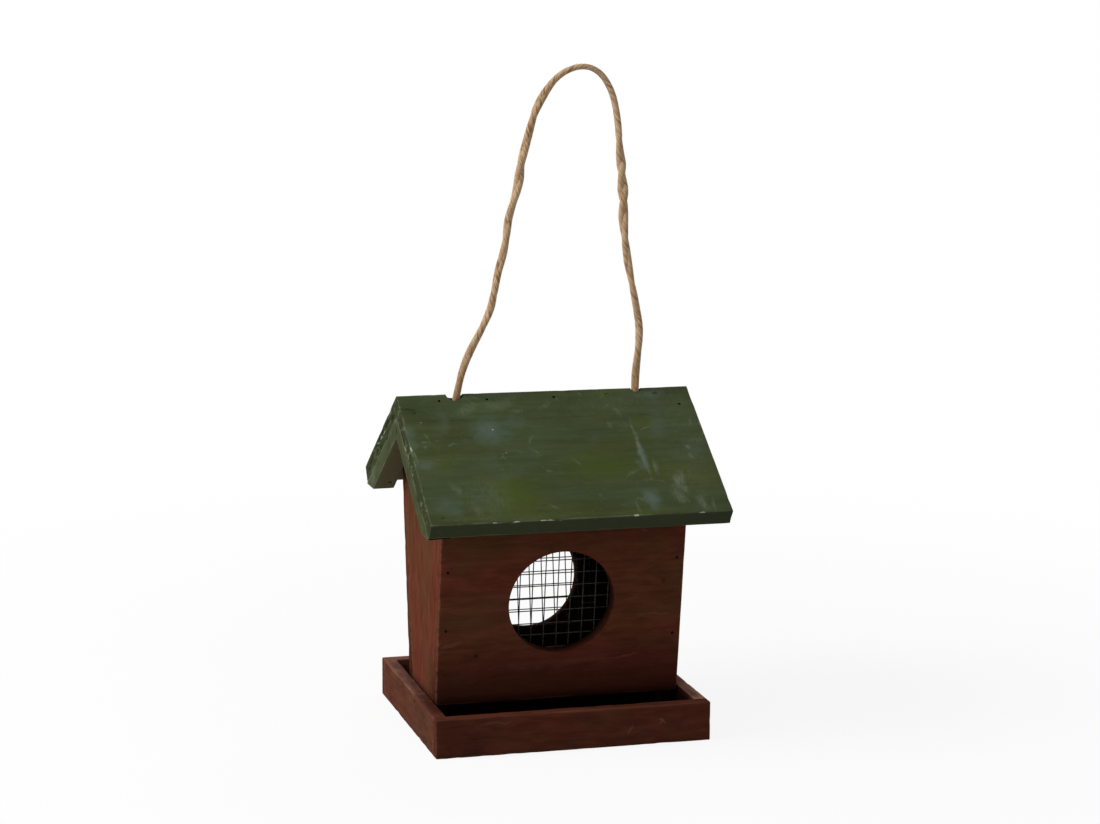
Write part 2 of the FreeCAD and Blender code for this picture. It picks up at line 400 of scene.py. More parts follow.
@dataclass(frozen=True)
class Mark:
    """A patch, smear or scratch on a face; sizes in millimetres.

    Attributes:
        hue: its colour.
        along, across: its middle, in the face's coordinates.
        length, width: half sizes.
        turn: angle of its length from the along direction, in degrees.
        strength: how much of the finish it hides.
    """

    hue: Hue
    along: float
    across: float
    length: float
    width: float
    turn: float
    strength: float

    border_out = 0.5
    border_in = 0.9

    def share(self, along: Field, across: Field, ragged: Field) -> Field:
        """Where the mark shows.

        Args:
            along, across: the face's coordinates.
            ragged: unevenness of its border.

        Returns:
            What it hides of the finish, from 0 outside it.
        """
        cos, sin = math.cos(math.radians(self.turn)), math.sin(math.radians(self.turn))
        right = along - self.along
        up = across - self.across
        run = right * (cos / self.length) + up * (sin / self.length)
        off = up * (cos / self.width) - right * (sin / self.width)
        reach = (run * run + off * off) ** 0.5
        soft = self.hue.softness
        shown = (reach + ragged).step(1 + self.border_out * soft, 1 - self.border_in * soft)
        return shown * self.strength


@dataclass(frozen=True)
class Face:
    """A flat face of a board with its own coordinates in millimetres, and the marks on it.

    Attributes:
        origin: where both coordinates are 0, in metres.
        along, across: directions of the coordinates.
        outward: the way the face looks.
        marks: its marks.
    """

    origin: Vector
    along: Vector
    across: Vector
    outward: Vector
    marks: tuple[Mark, ...]

    wander = 5.0
    fray = 1.5
    turned_away = (0.2, 0.5)
    cloud_noise = ((190.0, 270.0, 270.0), 40.0, 3.0, 0.5)
    fine_noise = ((420.0, 1500.0, 1500.0), 41.0, 4.0)
    strand_noise = ((1300.0, 260.0, 260.0), 42.0, 4.0, 0.4)
    along_noise = ((130.0, 90.0, 90.0), 43.0, 3.0)
    across_noise = ((110.0, 130.0, 130.0), 44.0, 3.0)

    def paint(self, shader: Shader, colour: Field) -> Field:
        """Paints the marks over a finish.

        Args:
            shader: the material's tree.
            colour: the finish without them.

        Returns:
            The finish with the marks on it.
        """
        place = shader.place()
        along = shader.dot(place, self.along / MM) - self.origin.dot(self.along) / MM
        across = shader.dot(place, self.across / MM) - self.origin.dot(self.across) / MM
        cloud = shader.noise(place, *self.cloud_noise)
        fine = shader.noise(place, *self.fine_noise)
        strands = shader.noise(place, *self.strand_noise)
        ragged = (cloud - 0.5) * self.fray
        along = along + (shader.noise(place, *self.along_noise) - 0.5) * self.wander
        across = across + (shader.noise(place, *self.across_noise) - 0.5) * self.wander
        shown = shader.dot(shader.facing(), self.outward).step(*self.turned_away)
        covers = {Hue.SCUFF: shown * (0.4 + 0.8 * strands.step(0.34, 0.68)), Hue.CHIP: shown}
        brushed = shown * (0.45 + 1.1 * fine)
        for hue in Hue:
            shares = [mark.share(along, across, ragged) for mark in self.marks if mark.hue is hue]
            if shares:
                cover = functools.reduce(Field.most, shares) * covers.get(hue, brushed)
                colour = shader.mix(cover, colour, hue.colour)
        return colour


@dataclass(frozen=True)
class BrownStain:
    """Thin red-brown stain on sawn softwood, a little rubbed along the arrises.

    Attributes:
        foot: how much painted shade darkens a wall towards its foot, where the tray shades it.
        top: how much of its colour an upper face has lost.
        gloss: how much of the light it throws back.
        faces: faces with marks.
    """

    red: Colour = tint(108, 56, 42)
    olive: Colour = tint(98, 61, 41)
    deep: Colour = tint(62, 31, 23)
    # Painted shade at a wall's foot.
    foot_shade: Colour = tint(58, 26, 20)
    rubbed: Colour = tint(136, 93, 74)
    bleached: Colour = tint(150, 108, 95)
    # Painted shade colours: pit for the nail pits, and the one below for the seed space, the feed slot and
    # the tray's bed.
    pit: Colour = tint(30, 16, 12)
    shade_black: Colour = tint(6, 5, 4)
    foot: float = 0.0
    top: float = 0.0
    gloss: float = 0.002
    faces: tuple[Face, ...] = ()

    foot_top = 56.0
    foot_low = 16.0
    cloud_noise = (0.010, 0.032, 3, 3.0)
    streak_noise = (0.018, 0.55, 4, 5.0)
    speck_noise = (0.12, 1.2, 5, 3.0)
    mottle_noise = (0.07, 0.24, 8, 5.0, 0.6)
    rub_noise = (0.05, 0.30, 6, 4.0)
    scuff_noise = (0.05, 0.16, 7, 5.0, 1.2)
    streak_share = 0.24
    ring_share = 0.1
    speck_share = 0.35
    rub_share = 0.5
    scuff_share = 0.16
    painted_shade_share = 0.86
    pit_share = 0.8
    relief = 0.16 * MM

    def material(self, name: str, grain: Grain, centre: Vector, seed: int) -> bpy.types.Material:
        """The stain on one board.

        Args:
            name: the material's name.
            grain: which way the fibres run.
            centre: middle of the board.
            seed: a number that tells one board from another.

        Returns:
            The material.
        """
        material, shader = new_material(name)
        wood = TimberPattern(shader, grain, centre, seed)
        rings = wood.rings()
        fibres = wood.fibres()
        clouds = wood.noise(*self.cloud_noise)
        streaks = wood.noise(*self.streak_noise)
        specks = wood.noise(*self.speck_noise)
        mottle = wood.noise(*self.mottle_noise).step(0.3, 0.7)
        colour = shader.mix(clouds.step(0.38, 0.62), self.red, self.olive)
        colour = shader.mix(streaks.step(0.46, 0.74) * self.streak_share, colour, self.deep)
        colour = shader.mix(rings * self.ring_share, colour, self.deep)
        colour = shader.shade(colour, 0.64 + 0.36 * fibres + 0.36 * mottle)
        colour = shader.mix(specks.step(0.64, 0.78) * self.speck_share, colour, self.deep)
        # Painted shade: darker towards a wall's foot, where the tray shades it.
        if self.foot:
            height = shader.dot(shader.place(), Vector((0, 0, 1 / MM)))
            colour = shader.mix(height.step(self.foot_top, self.foot_low) * self.foot, colour, self.foot_shade)
        edge = shader.attribute("rim")
        rub = (wood.noise(*self.rub_noise) * 3.0 - 0.8 - edge * 0.7).step(0.0, 0.7)
        scuff = wood.noise(*self.scuff_noise).step(0.64, 0.74) * self.scuff_share
        colour = shader.mix((rub * self.rub_share).most(scuff), colour, self.rubbed)
        if self.top:
            above = shader.dot(wood.facing, Z_AXIS).step(0.7, 0.9) * (0.5 + mottle)
            colour = shader.mix(above * self.top, colour, self.bleached)
        for face in self.faces:
            colour = face.paint(shader, colour)
        # Painted shade: near black in the seed space, the feed slot and the tray's bed.
        colour = shader.mix(shader.attribute("painted_shade") * self.painted_shade_share, colour, self.shade_black)
        # Painted shade in the nail pits.
        colour = shader.mix(shader.attribute("stain") * self.pit_share, colour, self.pit)
        roughness = 0.6 + 0.22 * fibres
        height = fibres * 0.6 + rings * 0.2 - specks.step(0.62, 0.78) * 0.3
        shader.finish(colour, roughness, height, self.relief, Specular_IOR_Level=self.gloss)
        return material


@dataclass(frozen=True)
class GreenPaint:
    """Thin dark green paint in long brush bands, clouded olive, scuffed and finely scratched.

    Attributes:
        gloss: how much of the light it throws back.
        faces: faces with marks.
    """

    green: Colour = tint(70, 80, 53)
    olive: Colour = tint(74, 82, 47)
    deep: Colour = tint(50, 58, 38)
    bloom: Colour = tint(86, 97, 80)
    scratch: Colour = tint(112, 120, 96)
    saw_dark: Colour = tint(52, 57, 36)
    saw_pale: Colour = tint(108, 112, 86)
    eave: Colour = tint(69, 74, 57)
    # Painted light: a lighter colour for faces that look down, where little light reaches.
    lit_underside: Colour = tint(128, 123, 94)
    # Painted shade colour of the seed space and the nail pits.
    shade_black: Colour = tint(16, 18, 13)
    gloss: float = 0.002
    faces: tuple[Face, ...] = ()

    cloud_noise = (0.014, 0.04, 3, 3.0)
    band_noise = (0.008, 0.7, 4, 5.0)
    mottle_noise = (0.035, 0.26, 12, 4.0)
    broad_noise = (0.02, 0.05, 14, 4.0, 0.5)
    smudge_noise = (0.05, 0.06, 5, 5.0, 0.9)
    fleck_noise = (0.14, 0.4, 13, 5.0, 0.4)
    rub_noise = (0.06, 0.25, 8, 4.0)
    hairline_noise = (0.10, 0.12, 6, 1.0, 1.5)
    broken_noise = (0.22, 0.22, 7, 1.0)
    often_noise = (0.018, 0.03, 9, 1.0)
    stroke_stretch = (0.11, 0.42, 1.0)
    kept_stretch = (0.10, 0.07, 1.0)
    band_share = 0.22
    ring_share = 0.06
    smudge_share = 0.45
    fleck_share = 0.4
    scratch_share = 0.55
    rub_share = 0.6
    sawn_share = 0.8
    eave_share = 0.75
    lit_underside_share = 0.85
    painted_shade_share = 0.8
    pit_share = 0.85
    relief = 0.14 * MM

    def material(self, name: str, grain: Grain, centre: Vector, seed: int) -> bpy.types.Material:
        """The paint on one board.

        Args:
            name: the material's name.
            grain: which way the fibres run.
            centre: middle of the board.
            seed: a number that tells one board from another.

        Returns:
            The material.
        """
        material, shader = new_material(name)
        wood = TimberPattern(shader, grain, centre, seed)
        rings = wood.rings()
        fibres = wood.fibres()
        clouds = wood.noise(*self.cloud_noise)
        bands = wood.noise(*self.band_noise)
        colour = shader.mix(clouds.step(0.42, 0.64), self.green, self.olive)
        mottle = wood.noise(*self.mottle_noise).step(0.3, 0.7)
        broad = wood.noise(*self.broad_noise).step(0.3, 0.7)
        colour = shader.mix(bands.step(0.42, 0.74) * self.band_share, colour, self.deep)
        colour = shader.mix(rings * self.ring_share, colour, self.deep)
        colour = shader.shade(colour, 0.73 + 0.16 * fibres + 0.2 * mottle + 0.22 * broad)
        smudges = wood.noise(*self.smudge_noise).step(0.50, 0.76) * self.smudge_share
        flecks = wood.noise(*self.fleck_noise).step(0.54, 0.76) * self.fleck_share
        colour = shader.mix(smudges.most(flecks), colour, self.bloom)
        scratches = self.scratches(wood)
        colour = shader.mix(scratches * self.scratch_share, colour, self.scratch)
        edge = shader.attribute("rim")
        rub = (wood.noise(*self.rub_noise) * 3.2 - 0.9 - edge * 0.9).step(0.0, 0.7)
        colour = shader.mix(rub * self.rub_share, colour, self.scratch)
        sawn = wood.end_grain()
        ends = shader.mix(self.teeth(shader, wood), self.saw_dark, self.saw_pale)
        colour = shader.mix(sawn * self.sawn_share, colour, ends)
        # Faces that look along Y take the eave colour, which the battens' finish makes near black as a
        # painted shadow.
        eave = shader.dot(wood.facing, Y_AXIS).size().step(0.7, 0.8)
        colour = shader.mix(eave * self.eave_share, colour, self.eave)
        # Painted light: faces that look down are made lighter, since little light reaches them.
        under = shader.dot(wood.facing, -Z_AXIS).step(0.6, 0.8)
        colour = shader.mix(under * self.lit_underside_share, colour, self.lit_underside)
        for face in self.faces:
            colour = face.paint(shader, colour)
        # Painted shade: near black in the seed space and in the nail pits.
        painted_shade = shader.attribute("painted_shade") * self.painted_shade_share
        dark = painted_shade.most(shader.attribute("stain") * self.pit_share)
        colour = shader.mix(dark, colour, self.shade_black)
        roughness = 0.52 + 0.2 * fibres + 0.1 * smudges
        height = fibres * 0.5 + bands * 0.4 + scratches * 0.3
        shader.finish(colour, roughness, height, self.relief, Specular_IOR_Level=self.gloss)
        return material

    def teeth(self, shader: Shader, wood: TimberPattern) -> Field:
        """Slanting strokes that a saw left on a board's end.

        Args:
            shader: the material's tree.
            wood: the board's pattern.

        Returns:
            1 in a stroke, 0 beside it.
        """
        place = shader.place()
        run = shader.dot(place, SAW_RUN / MM)
        off = shader.dot(place, SAW_OFF / MM)
        kerf = shader.node("ShaderNodeCombineXYZ", {}, {0: run, 1: off})
        strokes = shader.noise(kerf, self.stroke_stretch, wood.seed + 10, 4.0, 0.9)
        kept = shader.noise(kerf, self.kept_stretch, wood.seed + 11, 3.0)
        return strokes.step(0.48, 0.66) * kept.step(0.40, 0.60)

    def scratches(self, wood: TimberPattern) -> Field:
        """Short curly hairlines, in some places more than in others.

        Args:
            wood: the board's pattern.

        Returns:
            1 in a line, 0 beside it.
        """
        line = (wood.noise(*self.hairline_noise) - 0.5).size().step(0.024, 0.004)
        broken = wood.noise(*self.broken_noise).step(0.52, 0.66)
        often = wood.noise(*self.often_noise).step(0.40, 0.62)
        return line * broken * often


@dataclass(frozen=True)
class DullSteel:
    """Bare or galvanised wire gone dull.

    Attributes:
        bright, dark: its colours.
        roughness: how dull it is.
        metallic: how much of it is bare metal.
    """

    bright: Colour = tint(82, 81, 76)
    dark: Colour = tint(54, 52, 48)
    roughness: float = 0.55
    metallic: float = 0.2

    gloss = 0.06
    relief = 0.05 * MM
    grit_share = 0.25
    spangle_noise = ((900.0, 900.0, 900.0), 1.0, 3.0)
    grit_noise = ((5000.0, 5000.0, 5000.0), 2.0, 2.0)

    def material(self, name: str) -> bpy.types.Material:
        """The finish under a name.

        Args:
            name: the material's name.

        Returns:
            The material.
        """
        material, shader = new_material(name)
        place = shader.place()
        spangle = shader.noise(place, *self.spangle_noise)
        grit = shader.noise(place, *self.grit_noise)
        colour = shader.mix(spangle.step(0.35, 0.68), self.bright, self.dark)
        roughness = self.roughness + self.grit_share * grit
        shader.finish(colour, roughness, grit, self.relief, Metallic=self.metallic,
                      Specular_IOR_Level=self.gloss)
        return material


@dataclass(frozen=True)
class JuteFibre:
    """Dry jute: tan fibres laid along each ply, with straw, pinkish and dark shreds."""

    tan: Colour = tint(224, 194, 154)
    straw: Colour = tint(240, 224, 198)
    rose: Colour = tint(212, 176, 142)
    brown: Colour = tint(158, 114, 70)

    low_end = (42.0, 4.0)
    high_end = (324.0, 360.0)
    fibre_noise = ((0.12, 2.8, 2.8), 1.0, 4.0, 0.2)
    shred_noise = ((0.10, 1.5, 1.5), 2.0, 3.0)
    cloud_noise = ((0.07, 0.5, 0.5), 3.0, 3.0)
    rose_share = 0.8
    straw_share = 0.65
    end_share = 0.5
    shred_share = 0.8
    roughness = 0.86
    gloss = 0.03
    relief = 0.2 * MM

    def material(self, name: str) -> bpy.types.Material:
        """The finish under a name.

        Args:
            name: the material's name.

        Returns:
            The material.
        """
        material, shader = new_material(name)
        parts = [shader.attribute(key) for key in JuteLine.keys]
        place = shader.node("ShaderNodeCombineXYZ", {}, dict(enumerate(parts)))
        fibres = shader.noise(place, *self.fibre_noise)
        shreds = shader.noise(place, *self.shred_noise)
        clouds = shader.noise(place, *self.cloud_noise)
        run = (parts[0] / JuteLine.ply_apart).fraction() * JuteLine.ply_apart
        ends = run.step(*self.low_end).most(run.step(*self.high_end))
        colour = shader.mix(clouds.step(0.42, 0.62) * self.rose_share, self.tan, self.rose)
        colour = shader.mix(fibres.step(0.46, 0.72) * self.straw_share, colour, self.straw)
        colour = shader.mix(ends * self.end_share, colour, self.brown)
        colour = shader.mix(shreds.step(0.48, 0.64) * self.shred_share, colour, self.brown)
        colour = shader.shade(colour, 0.9 + 0.24 * fibres)
        shader.finish(colour, self.roughness, fibres, self.relief, Specular_IOR_Level=self.gloss,
                      Diffuse_Roughness=1.0)
        return material


# Boards

def cad_roof_top() -> float:
    """Height of the ridge, in metres."""
    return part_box("roof_board_front")[1].z


def new_piece(name: str, mesh: bpy.types.Mesh, material: bpy.types.Material) -> bpy.types.Object:
    """A piece at the origin, in the scene and finish.

    Args:
        name: the piece's name.
        mesh: its mesh, in the row frame.
        material: its finish.

    Returns:
        The object.
    """
    piece = bpy.data.objects.new(name, mesh)
    mesh.materials.clear()
    mesh.materials.append(material)
    bpy.context.scene.collection.objects.link(piece)
    log.info("%s: %d faces", name, len(mesh.polygons))
    return piece


@dataclass(frozen=True)
class Plane:
    """A face of a board before its arrises were worn."""

    point: Vector
    normal: Vector

    def off(self, place: Vector) -> float:
        """Distance of a place from the face."""
        return abs((place - self.point).dot(self.normal))

    def holds(self, place: Vector) -> bool:
        """Whether a place is on the board's side of the face."""
        return (place - self.point).dot(self.normal) < 0


@dataclass(frozen=True)
class Bore:
    """A window, hole or nail pit: a turned plug that is cut out of a board.

    Attributes:
        point: on its axis, where it enters the board.
        axis: which way it goes in.
        radius: its radius.
        depth: how deep it goes.
        through: whether it comes out on the far side, with a rounded rim there too.
        rim: radius of its rounded rims.
        steps: sides of the plug.
    """

    point: Vector
    axis: Vector
    radius: float
    depth: float
    through: bool
    rim: float
    steps: int

    rim_turns = (0.25, 0.6, 1.0)
    overrun = 1.5 * MM
    rim_slack = 1.05

    def holds(self, place: Vector) -> bool:
        """Tells what the plug takes away.

        Args:
            place: a place on the board.

        Returns:
            Whether it lies in the plug or on its rim.
        """
        run = place - self.point
        deep = run.dot(self.axis)
        out = (run - self.axis * deep).length
        return out < self.radius + self.rim_slack * self.rim and deep < self.depth + self.rim

    def rounded(self, face: float, inward: float) -> list[tuple[float, float]]:
        """Rim profile at a face.

        Args:
            face: the face's place along the axis.
            inward: 1 or -1, from the face into the board.

        Returns:
            Points as radius and place along the axis, from the face inwards.
        """
        points = [(self.radius + self.rim, face - inward * self.overrun)]
        for share in self.rim_turns:
            turn = share * math.pi / 2
            out = self.radius + self.rim * (1 - math.sin(turn))
            points.append((out, face + inward * self.rim * (1 - math.cos(turn))))
        return points

    def turn_into(self, bm: bmesh.types.BMesh) -> None:
        """Turns the plug about its axis.

        Args:
            bm: the mesh that it is added to.
        """
        profile = self.rounded(0.0, 1.0)
        if self.through:
            profile += self.rounded(self.depth, -1.0)[::-1]
        else:
            profile.append((self.radius, self.depth))
        profile = [(0.0, profile[0][1]), *profile, (0.0, profile[-1][1])]
        side = self.axis.orthogonal().normalized()
        line = [bm.verts.new(self.point + side * out + self.axis * place) for out, place in profile]
        edges = [bm.edges.new(pair) for pair in zip(line, line[1:])]
        bmesh.ops.spin(bm, geom=line + edges, cent=self.point, axis=self.axis, angle=2 * math.pi,
                       steps=self.steps, use_merge=True)


def nail_heads(node: str) -> list[tuple[Vector, Vector]]:
    """Where the nails of a node were driven in.

    Args:
        node: a node of separate nails.

    Returns:
        The middle of each head and the way its nail points.
    """
    bm = bmesh.new()
    bm.from_mesh(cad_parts[node].data)
    bmesh.ops.remove_doubles(bm, verts=bm.verts, dist=NAIL_MERGE)
    waiting = set(bm.verts)
    heads = []
    while waiting:
        nail = [waiting.pop()]
        for vert in nail:
            found = {edge.other_vert(vert) for edge in vert.link_edges} & waiting
            waiting -= found
            nail += found
        middle = sum((v.co for v in nail), Vector()) / len(nail)
        along = max((v.co - middle for v in nail), key=lambda run: run.length).normalized()
        for slack in NAIL_END_SLACKS:
            places = [v.co.dot(along) for v in nail]
            ends = [[v.co for v, place in zip(nail, places) if place < min(places) + slack],
                    [v.co for v, place in zip(nail, places) if place > max(places) - slack]]
            first, last = (sum(end, Vector()) / len(end) for end in ends)
            along = (last - first).normalized()
        first_width, last_width = ((end[0] - spot).length for end, spot in zip(ends, (first, last)))
        heads.append((first, along) if first_width > last_width else (last, -along))
    bm.free()
    return heads


@dataclass(frozen=True)
class Hollow:
    """The seed space between floor, walls and roof, whose painted shade darkens the boards around it; sizes
    in metres.
    """

    half_length: float = 53.75 * MM
    half_foot: float = 21.1 * MM
    foot: float = 17.3 * MM
    floor: float = 6.0 * MM
    ridge: float = 155.9 * MM
    front_reach: float = 4.0 * MM
    rear_reach: float = 8.0 * MM
    slot_reach: float = 6.5 * MM
    slot_half_length: float = 62.5 * MM
    slot_half_depth: float = 44.0 * MM
    slot_top: float = 16.0 * MM
    bed_half_length: float = 62.0 * MM
    bed_half_depth: float = 54.5 * MM
    bed_top: float = 6.4 * MM
    rear_fade: int = 3

    def painted_shade(self, place: Vector) -> float:
        """How much painted shade a place gets from the seed space, the feed slot and the tray's bed.

        Args:
            place: a place on a board.

        Returns:
            1 in the seed space, fading to 0 through the boards around it.
        """
        side = abs(place.x) - self.half_length
        front = abs(place.y) - self.half_foot - (place.z - self.foot) * math.tan(WALL_LEAN)
        top = (place.z - self.ridge + abs(place.y) * math.tan(ROOF_SLOPE)) * math.cos(ROOF_SLOPE)
        inside = max(side, front, top, self.floor - place.z)
        slot = max(abs(place.x) - self.slot_half_length, abs(place.y) - self.slot_half_depth,
                   place.z - self.slot_top, self.floor - place.z)
        bed = max(abs(place.x) - self.bed_half_length, abs(place.y) - self.bed_half_depth,
                  place.z - self.bed_top)
        near = inside / self.front_reach if place.y < 0 else (inside / self.rear_reach) ** self.rear_fade
        return min(1.0, max(0.0, 1 - near, 1 - min(slot, bed) / self.slot_reach))


@dataclass(frozen=True)
class Chip:
    """A spot where an arris has broken away.

    Attributes:
        point: its middle, on the arris.
        along: direction of the arris.
        length: half its length.
        depth: how deep it is.
    """

    point: Vector
    along: Vector
    length: float
    depth: float

    reach = 1.3 * MM

    def bite(self, place: Vector) -> float:
        """How far it reaches.

        Args:
            place: a place on the board.

        Returns:
            How much of its depth it takes there, from 0 to 1.
        """
        run = place - self.point
        span = run.dot(self.along)
        off = (run - self.along * span).length
        return max(0.0, 1 - abs(span) / self.length) * max(0.0, 1 - off / self.reach)


@dataclass
class Board:
    """A sawn board: a prism with worn arrises, bores and nail pits.

    Attributes:
        node: the node that it stands for.
        outline: corners of one side, in metres.
        sweep: from that side to the other.
        axes: directions that its mesh is divided along.
        bores: its windows and holes.
        chips: broken spots of its arrises.
        arris: radius of its rounded arrises.
        cell: size of its mesh's cells.
        wobble: how uneven its faces are.
        bite: how deep its arrises are worn.
        settle: how far it has moved out of true at a place.
    """

    node: str
    outline: list[Vector]
    sweep: Vector
    axes: tuple[Vector, ...]
    bores: Sequence[Bore] = ()
    chips: Sequence[Chip] = ()
    arris: float = 0.6 * MM
    cell: float = 2.6 * MM
    wobble: float = 0.1 * MM
    bite: float = 0.6 * MM
    settle: Optional[Callable[[Vector], Vector]] = None

    pit_radius = 0.62 * MM
    pit_depth = 0.8 * MM
    pit_rim = 0.15 * MM
    pit_steps = 14
    arris_steps = 3
    fewest_cells = 2
    cut_slack = 0.01 * MM
    plug_merge = 0.001 * MM
    gouge_size = 7 * MM
    gouge_from = 0.12
    wobble_size = 16 * MM
    rim_reach = 6.0 * MM
    wear_reach = 2.2 * MM
    sharp = math.radians(38.0)

    def prism(self) -> bmesh.types.BMesh:
        """Sweeps the outline.

        Returns:
            The plain prism, with its normals outwards.
        """
        bm = bmesh.new()
        side = bm.faces.new([bm.verts.new(corner) for corner in self.outline])
        swept = bmesh.ops.extrude_face_region(bm, geom=[side])["geom"]
        far = [made for made in swept if isinstance(made, bmesh.types.BMVert)]
        bmesh.ops.translate(bm, verts=far, vec=self.sweep)
        bmesh.ops.recalc_face_normals(bm, faces=bm.faces)
        return bm

    def divide(self, bm: bmesh.types.BMesh) -> None:
        """Cuts the faces into cells, so that wear can shape them.

        Args:
            bm: the prism.
        """
        for axis in self.axes:
            places = [v.co.dot(axis) for v in bm.verts]
            low, high = min(places), max(places)
            count = max(self.fewest_cells, round((high - low) / self.cell))
            for number in range(1, count):
                point = axis * (low + (high - low) * number / count)
                geometry = bm.verts[:] + bm.edges[:] + bm.faces[:]
                bmesh.ops.bisect_plane(bm, geom=geometry, dist=self.cut_slack, plane_co=point, plane_no=axis)

    def bored(self, bm: bmesh.types.BMesh, bores: Sequence[Bore]) -> bpy.types.Mesh:
        """Cuts the bores out.

        Args:
            bm: the divided board, which is freed.
            bores: what is cut out.

        Returns:
            The mesh that is left.
        """
        mesh = new_mesh(self.node + "_timber", bm)
        if not bores:
            return mesh
        plugs = bmesh.new()
        for bore in bores:
            bore.turn_into(plugs)
        bmesh.ops.remove_doubles(plugs, verts=plugs.verts, dist=self.plug_merge)
        bmesh.ops.recalc_face_normals(plugs, faces=plugs.faces)
        tool = bpy.data.objects.new("plugs", new_mesh("plugs", plugs))
        blank = bpy.data.objects.new("blank", mesh)
        for made in (tool, blank):
            bpy.context.scene.collection.objects.link(made)
        cut = blank.modifiers.new("bores", "BOOLEAN")
        cut.operation = "DIFFERENCE"
        cut.solver = "EXACT"
        cut.object = tool
        graph = bpy.context.evaluated_depsgraph_get()
        left = bpy.data.meshes.new_from_object(blank.evaluated_get(graph))
        left.name = self.node + "_timber"
        for made in (tool, blank):
            old = made.data
            bpy.data.objects.remove(made)
            bpy.data.meshes.remove(old)
        return left

    def wear(self, mesh: bpy.types.Mesh, faces: Sequence[Plane], pits: Sequence[Bore]) -> None:
        """Bites the arrises, and notes nearness to an arris, painted shade and nail pits.

        Args:
            mesh: the bored board.
            faces: its faces before wear.
            pits: its nail pits.
        """
        hollow = Hollow()
        bm = bmesh.new()
        bm.from_mesh(mesh)
        rim = bm.verts.layers.float.new("rim")
        # painted shade from the seed space, the feed slot and the tray's bed, which the finishes read
        painted_shade = bm.verts.layers.float.new("painted_shade")
        # faces inside a nail pit, which the finishes darken as painted shade
        stain = bm.faces.layers.float.new("stain")
        bm.normal_update()
        for face in bm.faces:
            face.smooth = True
            face[stain] = float(any(all(pit.holds(v.co) for v in face.verts) for pit in pits))
        for vert in bm.verts:
            place = vert.co.copy()
            edge = sorted(side.off(place) for side in faces)[1]
            vert[rim] = min(edge, self.rim_reach) / MM
            vert[painted_shade] = hollow.painted_shade(place)
            near = max(0.0, 1 - edge / self.wear_reach)
            gouge = max(0.0, noise.noise(place / self.gouge_size) - self.gouge_from) * near * self.bite
            gouge += sum(chip.bite(place) * chip.depth for chip in self.chips)
            uneven = (1 + noise.noise(place / self.wobble_size)) / 2 * self.wobble
            moved = self.settle(place) if self.settle else Vector()
            vert.co = place - vert.normal * (uneven + gouge) + moved
        for edge in bm.edges:
            edge.smooth = edge.calc_face_angle(0.0) < self.sharp
        bm.to_mesh(mesh)
        bm.free()

    def build(self, heads: Sequence[tuple[Vector, Vector]]) -> bpy.types.Mesh:
        """The finished mesh.

        Args:
            heads: all nail heads of the feeder; those inside the board get their pits.

        Returns:
            The board's mesh, in the row frame.
        """
        bm = self.prism()
        faces = [Plane(f.calc_center_median(), f.normal.copy()) for f in bm.faces]
        bmesh.ops.bevel(bm, geom=bm.edges[:], offset=self.arris, offset_type="OFFSET", affect="EDGES",
                        segments=self.arris_steps, profile=0.5, material=-1, clamp_overlap=True)
        self.divide(bm)
        pits = []
        for head, inward in heads:
            if all(face.holds(head) for face in faces):
                mouth = head - inward * self.pit_depth
                pits.append(Bore(mouth, inward, self.pit_radius, self.pit_depth, False, self.pit_rim,
                                 self.pit_steps))
        mesh = self.bored(bm, [*self.bores, *pits])
        self.wear(mesh, faces, pits)
        return mesh


def long_board(node: str, corners: Sequence[tuple[float, float]], axes: tuple[Vector, ...],
               **options: object) -> Board:
    """A board with the same section from end to end of its node's box.

    Args:
        node: the node that it stands for.
        corners: corners of the section, as Y and Z.
        axes: directions that its mesh is divided along.
        options: the board's other attributes.

    Returns:
        The board.
    """
    low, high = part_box(node)
    outline = [Vector((low.x, y, z)) for y, z in corners]
    return Board(node, outline, X_AXIS * (high.x - low.x), axes, **options)


def box_board(node: str) -> Board:
    """A square-edged board that fills the box of its node."""
    low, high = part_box(node)
    return long_board(node, ((low.y, low.z), (high.y, low.z), (high.y, high.z), (low.y, high.z)), AXES)


Finish = Union[BrownStain, GreenPaint]


# Tray, hopper and roof

@dataclass
class Joinery:
    """Shared ways of the wooden sub-assemblies: each builds its boards and dresses them."""

    heads: list[tuple[Vector, Vector]]
    body: str
    slot: str
    finish: Finish

    def fit(self, board: Board, grain: Grain, seed: int, finish: Optional[Finish] = None) -> None:
        """Builds a board, gives it its finish and puts it in its node's place.

        Args:
            board: the board.
            grain: which way its fibres run.
            seed: a number that tells one board from another.
            finish: its finish, where it isn't the sub-assembly's.
        """
        mesh = board.build(self.heads)
        low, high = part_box(board.node)
        finish = finish or self.finish
        material = finish.material(board.node + "_finish", grain, (low + high) / 2, seed)
        piece = new_piece(board.node + "_timber", mesh, material)
        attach(piece, self.body)
        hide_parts(board.node)


@dataclass
class Tray(Joinery):
    """Floor board inside four rails."""

    def build(self) -> None:
        """Makes the five boards."""
        self.fit(box_board("tray_floor"), Grain.ALONG_X, 1, replace(self.finish, gloss=0.0))
        front = Face(ORIGIN, X_AXIS, Z_AXIS, -Y_AXIS, RAIL_MARKS)
        redder = replace(self.finish, red=tint(94, 48, 36), olive=tint(85, 49, 35), rubbed=tint(112, 72, 58),
                         faces=(front,))
        paler = replace(self.finish, red=tint(101, 58, 46), olive=tint(94, 60, 45), top=0.45)
        self.fit(box_board("tray_rail_front"), Grain.ALONG_X, 2, redder)
        self.fit(box_board("tray_rail_rear"), Grain.ALONG_X, 3, paler)
        top = Face(ORIGIN, Y_AXIS, X_AXIS, Z_AXIS, SIDE_RAIL_MARKS)
        self.fit(box_board("tray_rail_left"), Grain.ALONG_Y, 4, replace(paler, faces=(top,)))
        palest = replace(paler, top=0.95, bleached=tint(176, 128, 110))
        self.fit(box_board("tray_rail_right"), Grain.ALONG_Y, 5, palest)


